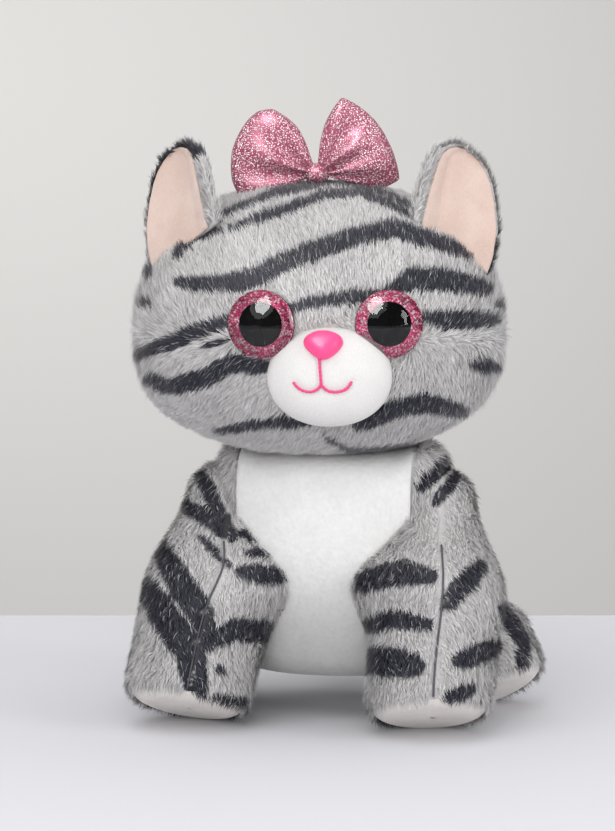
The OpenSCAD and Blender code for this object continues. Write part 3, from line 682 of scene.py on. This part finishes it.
mouthPaths = [finePath([onMuzzle(*q) for q in mouth[k]], mouth["step"]) for k in ("stem", "line")]
grid = muzzleGrid(90, 120)
near = np.min([np.linalg.norm(grid[:, :, None, ::2] - path[None, None, ::2, ::2], axis=-1).min(2)
               for path in mouthPaths], 0)
groove = mouth["groove"] * np.exp(-(near / mouth["grooveWide"]) ** 2)
grid[..., 1] += np.where(grid[..., 1] < muzzle["at"][1], groove, 0)
ends = [np.array(muzzle["at"]) + np.array([0, s * muzzle["half"][1], 0]) for s in (1, -1)]
skin = skinMesh("muzzleSkin", headPlace.out(grid), headPlace.out(np.array(ends)))
finishPiece(skin, "head", "white_velour", muzzleVelour, ["muzzle_cover", "muzzle_filling"])
for path, name, nodes in zip(mouthPaths, ("mouthStem", "mouthLine"), (["mouth_stitching"], [])):
    run = np.arange(len(path)) * mouth["step"]
    radius = mouth["thick"] / 2 * (1 + 0.16 * np.sin(2 * math.pi * run / mouth["stitch"]))
    thread = tubeMesh(name, headPlace.out(path - np.array([0, mouth["proud"], 0])), radius)
    finishPiece(thread, "head", "pink_thread", mouthThread, nodes)

nose = {"seenAt": (-3.5, 131.7), "wide": 15.6, "high": 11.0, "out": 3.9, "lean": 36.0, "narrow": 0.2,
        "behind": 0.35}


def noseGrid(rows, cols):
    # A rounded triangle, wide at the top, domed in front and shallow behind.
    f = np.radians(np.linspace(-88, 88, rows))[:, None]
    t = ringAngles(cols)
    s = np.sin(t)
    wide = nose["wide"] / 2 * np.cos(t) * (0.84 + nose["narrow"] * s - 0.1 * smooth(0.2, -1.0, s))
    high = nose["high"] / 2 * s * (1 - 0.1 * smooth(0, 1, s) * np.cos(t) ** 2)
    r = np.cos(f) ** 0.8
    out = nose["out"] * np.sin(f) * np.where(f > 0, 1.0, nose["behind"])
    return np.stack([wide * r, high * r, out + 0 * t], -1)


noseAt = onMuzzle(*nose["seenAt"])
nosePlace = Place(turnMatrix("x", 90 - nose["lean"]), noseAt + np.array([0, 0.1, 0])).within(headPlace)
ends = nosePlace.out(np.array([[0, 0, -nose["out"] * nose["behind"]], [0, 0, nose["out"]]]))
finishPiece(skinMesh("noseButton", nosePlace.out(noseGrid(40, 72)), ends), "head", "nose_plastic", noseVinyl,
            ["nose_button"])


def recolour(node, material):
    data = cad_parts[node].data
    data.materials.clear()
    data.materials.append(material)


for side in ("left", "right"):
    for piece, material in (("lens", eyeDome), ("glitter_ring", eyeGlitter), ("pupil", eyeBlack),
                            ("post", eyeBack)):
        recolour(f"{side}_eye_{piece}", material)
print("face done")

# inner and outer are an ear's edges: shares of its height, and of its width there.
ears = {"wide": 15.5, "high": 31.0, "sink": 5.0, "cup": 4.0, "fold": 1.5, "backIn": 3.0, "pitch": 6.0,
        "roll": 35.0, "at": (48.0, -20.0), "lift": 2.0, "blades": 12000, "frontBare": -0.55, "rimBelow": 19.0,
        "inner": ([0, 0.14, 0.4, 0.65, 0.8, 0.9, 0.96, 1.0],
                  [-1.0, -1.14, -1.34, -1.46, -1.5, -1.42, -1.3, -1.05]),
        "outer": ([0, 0.16, 0.46, 0.68, 0.84, 0.93, 0.98, 1.0],
                  [0.9, 0.8, 0.5, 0.16, -0.16, -0.42, -0.68, -0.95]),
        catLeft: {"yaw": 16.0, "darkAlong": 0, "darkFrom": 10.0, "crease": 1.0},
        catRight: {"yaw": 38.0, "darkAlong": 2, "darkFrom": 17.0, "crease": 0.0}}


def earEdges(v):
    # The inner and the outer edge of an ear at a height v from 0 to 1: upright inside, slanting outside.
    return [np.interp(v, *ears[edge]) * ears["wide"] for edge in ("inner", "outer")]


def earSheet(front, back, grow=0.0, inward=0.0, crease=0.0):
    # A closed cupped sheet between two depths: rows run up it, and columns round its front and its back.
    rows, half = 44, 44
    v = (1 - (1 - np.linspace(0, 0.995, rows)) ** 1.3)[:, None]
    inner, outer = earEdges(v)
    inner = inner - inward * np.sin(math.pi * np.minimum(v + 0.15, 1)) ** 0.5
    s = np.concatenate([np.linspace(-1, 1, half), np.linspace(1, -1, half)])[None, :]
    behind = (np.arange(2 * half) >= half)[None, :]
    middle, spread = (inner + outer) / 2, (outer - inner) / 2 + grow
    shape = ears["cup"] * s ** 2 + ears["fold"] * smooth(-0.6, -0.9, s)
    shape = shape * np.sin(np.minimum(math.pi / 2, 2.4 * v + 0.3)) * (1 - 0.5 * v)
    bulge = 0.6 * (1 - s ** 2) - crease * np.exp(-((s + 0.5 + 0.2 * v) / 0.09) ** 2) * np.sin(math.pi * v)
    y = np.where(behind, back + bulge, front - bulge) - shape
    z = v * (ears["high"] + grow) - ears["sink"]
    return np.stack([middle + spread * s, y, z + 0 * s], -1)


def earPlace(side):
    # The ear's base lies on the head's surface.
    x, y = ears["at"]
    a, b, c, _ = cat["headHalf"]
    plan, skull, _ = cat["headPowers"]
    reach = (np.abs(x / a) ** plan + np.abs(y / b) ** plan) ** (1 / plan)
    z = c * (1 - reach ** skull) ** (1 / skull)
    turn = turnMatrix("z", side * ears[side]["yaw"]) @ turnMatrix("y", side * ears["roll"])
    base = Place(turn, np.array([side * x, y, z]) + turn @ np.array([0, 0, ears["lift"]]))
    return Place(turnMatrix("x", -ears["pitch"]), (0, 0, 0)).within(base).within(headPlace)


def mirrored(grid, side):
    # The other ear is a mirror image, with its columns turned round so that the faces still look outwards.
    return grid if side == catLeft else (grid * np.array([-1, 1, 1]))[:, ::-1]


def earPrint(place, side):
    # A function for the print at a point of the ear: dark beyond a wandering line.
    own = ears[side]

    def printed(p, n):
        q = place.into(p) * np.array([side, 1, 1])
        edge = q[:, own["darkAlong"]] - own["darkFrom"] - 2.0 * wobble(p, 8.0, 7)
        return smooth(-0.4, 0.4, edge + rng.normal(0, 0.4, len(p)))
    return printed


for side, word in ((catLeft, "left"), (catRight, "right")):
    place = earPlace(side)
    printed = earPrint(place, side)
    lining = mirrored(earSheet(-1.5, -0.3, crease=ears[side]["crease"]), side)
    behind = mirrored(earSheet(-0.2, 1.8, grow=1.0, inward=ears["backIn"]), side)
    for local, name, material, slot, nodes in (
            (lining, "Lining", earVelour, "ear_velour", [f"{word}_ear_lining"]),
            (behind, "Back", plush, "grey_plush", [f"{word}_ear_back"])):
        grid = place.out(local)
        skin = skinMesh(f"{word}Ear{name}", grid, endsOf(grid))
        if name == "Back":
            skinColours(skin, printed)
        finishPiece(skin, f"{word}_ear", slot, material, nodes)
    p, n, uv = scatter(grid, gridNormals(grid), ears["blades"])
    # The pile grows behind the ear and round its rim.
    q = place.into(p) * np.array([side, 1, 1])
    inner = earEdges(np.clip((q[:, 2] + ears["sink"]) / ears["high"], 0, 1))[0]
    rim = (q[:, 0] < inner + 0.3) & (q[:, 2] < ears["rimBelow"])
    keep = (n @ place.turn[:, 1] > ears["frontBare"]) | rim
    p, n, uv = p[keep], n[keep], uv[keep]
    lean = place.turn[:, 2] + 0.25 * wobbles(p, 4.0, 43)
    fur = furMesh(f"{word}EarFur", p, n, onCloth(lean, n), uv, printed)
    finishPiece(fur, f"{word}_ear", "grey_plush", plush)
print("ears done")

# A wing's reach from the knot is given at several angles.
bow = {"at": (-1.0, -4.0, 57.0), "puff": 8.5, "knot": (9.0, 9.0, 7.6), "foldDepth": 1.4, "root": 2.6,
       "cornerFrom": 0.92, "wings": {
           "left": {"fan": (-15.0, 84.0), "folds": 3.2, "reach": (
               [-15, -4, 10, 25, 52, 72, 84], [22.0, 29.2, 28.2, 27.6, 27.8, 28.2, 14.0])},
           "right": {"fan": (109.0, 205.0), "folds": 2.6, "reach": (
               [109, 124, 133, 141, 164, 185, 198, 205], [15.0, 27.4, 30.0, 30.6, 30.8, 29.8, 28.0, 15.0])}}}
bowPlace = Place(np.eye(3), bow["at"]).within(headPlace)


def wingGrid(wing):
    # A puffed fan: rows run out from the knot, columns across the front and back over the other face.
    rows, half = 70, 60
    low, high = wing["fan"]
    t = (np.linspace(0, 1, rows) ** 0.9)[:, None]
    s = np.concatenate([np.linspace(-1, 1, half), np.linspace(1, -1, half)])[None, :]
    s = np.sin(s * math.pi / 2)
    face = np.where(np.arange(2 * half) < half, 1.0, -1.0)[None, :]
    degrees = (low + high) / 2 + (high - low) / 2 * s
    a = np.radians(degrees)
    reach = np.interp(degrees, *wing["reach"])
    corner = np.maximum(np.abs(s) - bow["cornerFrom"], 0) / (1 - bow["cornerFrom"])
    reach = reach * (1 - 0.25 * corner ** 2)
    r = bow["root"] + (reach - bow["root"]) * t
    side = np.sqrt(np.maximum(0, 1 - np.abs(s) ** 2.6))
    rim = np.sqrt(np.maximum(0, 1 - t ** 5))
    thick = bow["puff"] / 2 * (0.3 + 0.9 * np.sin(math.pi * t * 0.72)) * side * rim + 0.3 * rim
    fold = np.cos(wing["folds"] * math.pi * s + 0.8 * face) * (1 - t) ** 0.5 + 0.6 * np.sin(5 * s + 4 * t)
    y = face * (thick + bow["foldDepth"] * fold * side * rim)
    return np.stack([r * np.cos(a), y + 0.8 * np.sin(3 * a) * t, r * np.sin(a)], -1)


for side, wing in bow["wings"].items():
    grid = bowPlace.out(wingGrid(wing))
    skin = skinMesh(f"bowWing{side.title()}", grid, endsOf(grid))
    finishPiece(skin, "head", "bow_knit", bowKnit, [f"bow_{side}_wing"])

knot = sphereGrid(40, 64) * np.array(bow["knot"]) / 2
knot = knot * (1 + 0.07 * np.cos(9 * knot[..., :1] + 0.6 * knot[..., 2:]) * (1 - np.abs(knot[..., 2:]) / 4.2))
ends = np.array([[0, 0, s * bow["knot"][2] / 2] for s in (-1, 1)])
skin = skinMesh("bowKnot", bowPlace.out(knot), bowPlace.out(ends))
finishPiece(skin, "head", "bow_knit", bowKnit, ["bow_knot"])
recolour("bow_tack", mouthThread)
print("bow done")

torso = {"blades": 56000, "bands": (17.0, 51), "bibEdge": 0.2, "bibFrom": 16.5, "bibBefore": -2.0, "snap": 1.1,
         "bare": 16.0, "drawUp": 4.5, "shoulderFull": 0.2, "shoulderFrom": (0.5, 0.95), "shoulderRise": 5.0,
         "besideNeck": (22, 38), "fallBack": 9.0, "bellyFrom": (66, 24)}


def torsoHalves(t):
    # The torso's half width and half depth at a share t of its height.
    d = cat["torso"]
    curve = np.maximum(0, 1 - np.abs(2 * t - 1) ** d["round"]) ** (1 / d["round"])
    return [(d["base" + way] + (d["neck" + way] - d["base" + way]) * t) * curve for way in ("W", "D")]


def torsoGrid(rows, cols):
    d = cat["torso"]
    t = ((1 - np.cos(np.linspace(0.03, 0.97, rows) * math.pi)) / 2)[:, None]
    f = ringAngles(cols)
    halfW, halfD = torsoHalves(t)
    x, y = halfW * power(np.cos(f), 2 / d["plan"]), halfD * power(np.sin(f), 2 / d["plan"])
    # The base panel draws the stuffing up, and the shoulders are fuller and rise beside the neck.
    low = d["low"] + torso["drawUp"]
    full = smooth(*torso["shoulderFrom"], t)
    x = x * (1 + torso["shoulderFull"] * full)
    z = low + (d["high"] - low) * t + torso["shoulderRise"] * full * smooth(*torso["besideNeck"], np.abs(x))
    # Below the chest the belly falls back between the legs.
    y = y + torso["fallBack"] * smooth(*torso["bellyFrom"], z) * smooth(0, -12, y)
    return np.stack([x, y + d["setBack"] * (1 - t) + cat["axisY"], z], -1)


def inBib(p, grow=0.0):
    return (np.abs(p[..., 0]) < cat["bibHalf"] + grow) & (p[..., 1] < cat["axisY"] + torso["bibBefore"])


def alignBib(grid):
    # Moves the columns beside the bib's edges onto them, so that the two cloths meet in a clean line.
    for edge in (cat["bibHalf"], -cat["bibHalf"]):
        x = grid[..., 0]
        near = inBib(grid, torso["snap"]) & (np.abs(x - edge) < torso["snap"])
        grid[..., 0] = np.where(near, edge, x)
    return grid


torsoPlace = Place(np.eye(3), axis)
bodyGrid = alignBib(torsoGrid(90, 320))
torsoPrint = coatPrint(torsoPlace, bodyStripes, *torso["bands"])
torsoSkin = skinMesh("torsoSkin", bodyGrid, (
    [0, cat["axisY"] + cat["torso"]["setBack"], cat["torso"]["low"] + torso["drawUp"]],
    [0, cat["axisY"], cat["torso"]["high"]]))
skinColours(torsoSkin, torsoPrint)
twoCloths(torsoSkin, whitePlush, lambda c: inBib(c) & (c[:, 2] > torso["bibFrom"]))
finishPiece(torsoSkin, "torso", "grey_plush", None,
            ["torso_back_cover", "belly_panel", "base_panel", "neck_stitching", "torso_filling"])


def limbComb(p, n, down, seed):
    # The pile leans the way of down, in drifting and small tufts.
    lean = np.tile(np.array(down, float), (len(p), 1))
    return onCloth(lean + 0.35 * wobbles(p, 22.0, seed) + 0.3 * wobbles(p, 5.0, seed + 3), n)


p, n, uv = scatter(bodyGrid, gridNormals(bodyGrid), torso["blades"])
keep = ~inBib(p, torso["bibEdge"]) & (p[:, 2] > torso["bare"])
p, n, uv = p[keep], n[keep], uv[keep]
fur = furMesh("torsoFur", p, n, limbComb(p, n, (0, 0.1, -1), 61), uv, torsoPrint, longer=1.15)
finishPiece(fur, "torso", "grey_plush", plush)

# The neck: the cloth sleeve and the stuffing between the head and the torso.
neck = {"r": 18.0, "low": 91.0, "high": 101.0}
f = ringAngles(64)
z = np.linspace(neck["low"], neck["high"], 12)[:, None]
grid = np.stack([neck["r"] * np.cos(f) + 0 * z, neck["r"] * np.sin(f) + cat["axisY"] + 0 * z, z + 0 * f], -1)
sleeve = skinMesh("neckSkin", grid, endsOf(grid))
finishPiece(sleeve, "head", "grey_plush", whitePlush, ["neck_sleeve", "neck_filling"])
print("torso done")

# Only the front legs have a seam down the front, an elbow that bulges towards the belly and shifted paws.
# elbow is its place and spread along the leg, in shares of its length.
limbs = {
    "front": {"joint": (38.0, -6.0, 76.9778), "lean": 24.0, "splay": 5.5, "top": 13.0, "foot": 22.2,
              "long": 77.0, "blades": 46000, "bands": 16.0, "seam": 1.0, "seamDeep": 0.06, "thread": 0.34,
              "inward": 9.0, "elbow": (0.36, 0.17), "slimmer": 0.05, catLeft: -5.0, catRight: -1.0},
    "hind": {"joint": (45.0, 26.0, 34.1138), "lean": 22.0, "splay": 27.0, "top": 12.5, "foot": 17.0,
             "long": 33.0, "blades": 16000, "bands": 16.0},
}
soleEdge, seamAngle, thickFrom, seamTurn = 7.0, -40.0, 0.5, math.radians(12)


def limbPlace(limb, side):
    x, y, z = limb["joint"]
    turn = turnMatrix("x", -limb["lean"]) @ turnMatrix("y", -side * limb["splay"])
    return Place(turn, (side * x, y + cat["axisY"], z))


def limbGrid(limb, cols):
    # Rows run up the limb: a flat sole with a rounded edge, a side that thickens downwards and a round top.
    a = np.radians(np.linspace(88, 4, 16))
    top = limb["top"] * np.stack([np.cos(a), np.sin(a)], -1)
    t = np.linspace(0, 1, 40)[1:-1]
    side = np.stack([limb["top"] + (limb["foot"] - limb["top"]) * smooth(0, thickFrom, t),
                     -(limb["long"] - soleEdge) * t], -1)
    inner = limb["foot"] - soleEdge
    a = np.radians(np.linspace(0, -90, 14))
    edge = np.stack([inner + soleEdge * np.cos(a), soleEdge - limb["long"] + soleEdge * np.sin(a)], -1)
    sole = np.stack([inner * np.linspace(0.9, 0.05, 6), np.full(6, -limb["long"])], -1)
    outline = np.vstack([top, side, edge, sole])[::-1]
    f = ringAngles(cols)
    r, z = outline[:, :1], outline[:, 1:]
    return np.stack([r * np.cos(f), r * np.sin(f), z + 0 * f], -1)


def offSeam(q):
    # How far a point lies to the side of the front seam.
    return q[..., 0] * math.cos(seamTurn) + q[..., 1] * math.sin(seamTurn)


for kind, limb in limbs.items():
    seamHeight = -limb["long"] + soleEdge * (1 + math.sin(math.radians(seamAngle)))
    for side, word in ((catLeft, "left"), (catRight, "right")):
        place, local = limbPlace(limb, side), limbGrid(limb, 120)
        if "seam" in limb:
            # The front seam draws the cloth in a little.
            near = np.exp(-(offSeam(local)[..., None] / 2.0) ** 2) * (local[..., 1:2] < 0)
            local = local * (1 - limb["seamDeep"] * near * np.array([1, 1, 0]))
            # The elbow bulges towards the belly.
            down = -local[..., 2] / limb["long"]
            inner = smooth(0.3, -0.8, side * local[..., 0] / limb["foot"])
            at, spread = limb["elbow"]
            local[..., 0] -= side * limb["inward"] * inner * np.exp(-((down - at) / spread) ** 2)
            # The paws are a little slimmer, and both are set to the cat's right.
            local[..., 0] *= 1 - limb["slimmer"] * smooth(0.4, 1, down)
            local[..., 0] += limb[side] * smooth(0.35, 1, down)
        grid = place.out(local)
        body = f"{word}_{kind}_leg"
        ends = np.array([[0, 0, -limb["long"]], [0, 0, limb["top"]]])
        skin = skinMesh(f"{word}{kind.title()}Leg", grid, place.out(ends))
        limbPrint = coatPrint(place, bodyStripes, limb["bands"], 71 + side)
        skinColours(skin, limbPrint)
        twoCloths(skin, soleVelour, lambda c: place.into(c)[:, 2] < seamHeight)
        nodes = {"front": [f"{body}_outer", f"{body}_inner", f"{word}_front_paw_pad", f"{body}_filling"],
                 "hind": [f"{body}_cover", f"{word}_hind_foot_pad", f"{body}_filling"]}[kind]
        finishPiece(skin, body, "grey_plush", None, nodes)
        if "seam" in limb:
            column = local[:, int((1.5 + seamTurn / math.pi) * local.shape[1] / 2)]
            column = column[(column[:, 2] > seamHeight + 0.5) & (column[:, 2] < -0.2 * limb["long"])]
            path = finePath(column[::3] * np.array([1, 1.03, 1]), 0.5)
            thread = tubeMesh(f"{word}FrontSeam", place.out(path), limb["thread"], 8)
            finishPiece(thread, body, "grey_thread", greyThread)
        p, n, uv = scatter(grid, gridNormals(local) @ place.turn.T, limb["blades"])
        q = place.into(p)
        keep = q[:, 2] > seamHeight
        p, n, uv, q = p[keep], n[keep], uv[keep], q[keep]
        lean = limbComb(p, n, -place.turn[:, 2] + np.array([0.1, 0, 0]), 81 + side)
        scale = np.ones(len(p))
        if "seam" in limb:
            # The pile parts at the seam and is caught short in it.
            gap = q[:, 0] - np.interp(q[:, 2], column[:, 2], column[:, 0])
            near = (q[:, 1] < 0) * np.exp(-(gap / 2.6) ** 2)
            lean = onCloth(lean + (0.9 * near * np.sign(gap))[:, None] * place.turn[:, 0], n)
            scale = np.where((q[:, 1] < 0) & (np.abs(gap) < limb["seam"]), 0.28, 1 - 0.3 * near)
        fur = furMesh(f"{word}{kind.title()}LegFur", p, n, lean, uv, limbPrint, scale, 1.1)
        finishPiece(fur, body, "grey_plush", plush)
print("limbs done")

tail = {"r": 8.0, "curlR": 70.0, "curl": 62.0, "z": 24.0, "gap": 0.4, "blades": 16000, "bands": 14.0}


def tailRoot():
    d = cat["torso"]
    t = (tail["z"] - d["low"]) / (d["high"] - d["low"])
    halfD = torsoHalves(t)[1]
    return np.array([0, halfD + d["setBack"] * (1 - t) + tail["r"] + tail["gap"] + cat["axisY"], tail["z"]])


def tailGrid():
    # Round ends at both sides of an arc that curls up.
    endRows, arcRows = 8, 48
    end = np.radians(np.linspace(86, 4, endRows))
    arc = np.linspace(0, tail["curl"], arcRows + 2)[1:-1]
    a = np.radians(np.concatenate([np.zeros(endRows), arc, np.full(endRows, tail["curl"])]))[:, None]
    along = (np.concatenate([-np.sin(end), 0 * arc, np.sin(end[::-1])]) * tail["r"])[:, None]
    radius = (np.concatenate([np.cos(end), 1 + 0 * arc, np.cos(end[::-1])]) * tail["r"])[:, None]
    t = ringAngles(48)
    reach = tail["curlR"] + radius * np.sin(t)
    return np.stack([radius * np.cos(t), reach * np.sin(a) + along * np.cos(a),
                     tail["curlR"] - reach * np.cos(a) + along * np.sin(a)], -1)


rootAt = tailRoot()
grid = tailGrid() + rootAt
skin = skinMesh("tailSkin", grid, endsOf(grid))
tailPlace = Place(turnMatrix("x", -60), rootAt)


def tailPrint(p, n):
    edge = bandEdge(p, tailPlace, tail["bands"], 91) + rng.normal(0, 0.3, len(p))
    return smooth(-printing["soft"], printing["soft"], edge)


skinColours(skin, tailPrint)
finishPiece(skin, "tail", "grey_plush", plush, ["tail_cover", "tail_filling"])
p, n, uv = scatter(grid, gridNormals(grid), tail["blades"])
fur = furMesh("tailFur", p, n, limbComb(p, n, (0, 0.8, 0.6), 95), uv, tailPrint, longer=1.2)
finishPiece(fur, "tail", "grey_plush", plush)

# The pellets lie sealed in the torso, and the washers inside the head.
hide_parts("pellet_pouch", "pellet_load")
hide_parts("nose_washer", "left_eye_washer", "right_eye_washer")
print("tail done")


def placeInView(across, up, away):
    return (axis + seeRight * across + seeUp * up + seeAway * away) * mm


stage = {"tableBack": 196.0, "tableHalf": 3000, "tableDrop": 0.2, "tableTop": "#d9d9dd", "backdrop": "#c4c2bf",
         "wallAway": 3600.0, "wallHalf": 7000, "wallUp": (-4000, 5000), "room": "#f6f6f8", "roomBright": 0.79,
         "roomInMirror": 0.1}
ahead, upright = np.array([-math.sin(turnA), math.cos(turnA), 0.0]), np.array([0, 0, 1.0])


def stagePlane(name, half, low, high, place):
    corners = [tuple(place(x, y) * mm) for x, y in ((-half, low), (half, low), (half, high), (-half, high))]
    mesh = bpy.data.meshes.new(name)
    mesh.from_pydata(corners, [], [(0, 1, 2, 3)])
    mesh.materials.append(plainMaterial(name + "Paint", stage[name], 0.7))
    return addObject(name, mesh)


table = stagePlane("tableTop", stage["tableHalf"], -stage["tableHalf"], stage["tableBack"],
                   lambda x, y: axis + seeRight * x + ahead * y - upright * stage["tableDrop"])
wall = stagePlane("backdrop", stage["wallHalf"], *stage["wallUp"],
                  lambda x, z: axis + seeRight * x + ahead * stage["wallAway"] + upright * z)

camera = bpy.data.cameras.new("camera")
scene.camera = addObject("camera", camera)
scene.camera.matrix_world = Matrix(np.stack([seeRight, seeUp, -seeAway], 1).tolist()).to_4x4()
scene.camera.location = placeInView(*view["lookAt"], -view["distance"])
camera.sensor_fit = "VERTICAL"
camera.sensor_height = 36
camera.lens = camera.sensor_height * view["distance"] / view["high"]
camera.clip_start = 0.05

world = bpy.data.worlds.new("world")
world.use_nodes = True
# The room is dim in the eyes' mirror, and bright for everything else.
room = world.node_tree
glossy = addNode(room, "LightPath").outputs["Is Glossy Ray"]
strength = addNode(room, "MapRange", inputs={
    "Value": glossy, "To Min": stage["roomBright"], "To Max": stage["roomInMirror"]}).outputs["Result"]
setInputs(room, room.nodes["Background"], {"Color": srgb(stage["room"]), "Strength": strength})
scene.world = world

# Soft lights: name, place across, up and away, width and height in millimetres, watts, shape.
lights = [("keyLight", (-330, 820, -760), (1100, 1300), 5.0, "ELLIPSE"),
          ("windowLight", (900, 330, -640), (260, 620), 3.2, "RECTANGLE"),
          ("topLight", (0, 1100, 250), (1400, 1200), 2.8, "RECTANGLE"),
          ("wallLight", (-300, 500, 2700), (1600, 900), 7.8, "RECTANGLE"),
          ("fillLight", (-150, 60, -1100), (900, 500), 3.4, "RECTANGLE"),
          ("softBox", (-300, 860, -760), (640, 900), 22.0, "ELLIPSE")]
for name, at, size, energy, shape in lights:
    light = bpy.data.lights.new(name, "AREA")
    light.shape = shape
    light.size, light.size_y = size[0] * mm, size[1] * mm
    light.energy = energy
    obj = addObject(name, light)
    obj.location = placeInView(*at)
    # The soft box only shows in what is glossy, and the fill light only where it isn't.
    obj.visible_glossy = name != "fillLight"
    obj.visible_diffuse = name != "softBox"
    aim = placeInView(0, 110, stage["wallAway"] if name == "wallLight" else 0)
    obj.rotation_euler = Vector(aim - placeInView(*at)).to_track_quat("-Z", "Y").to_euler()
scene.view_settings.view_transform = "Standard"
print("stage done")
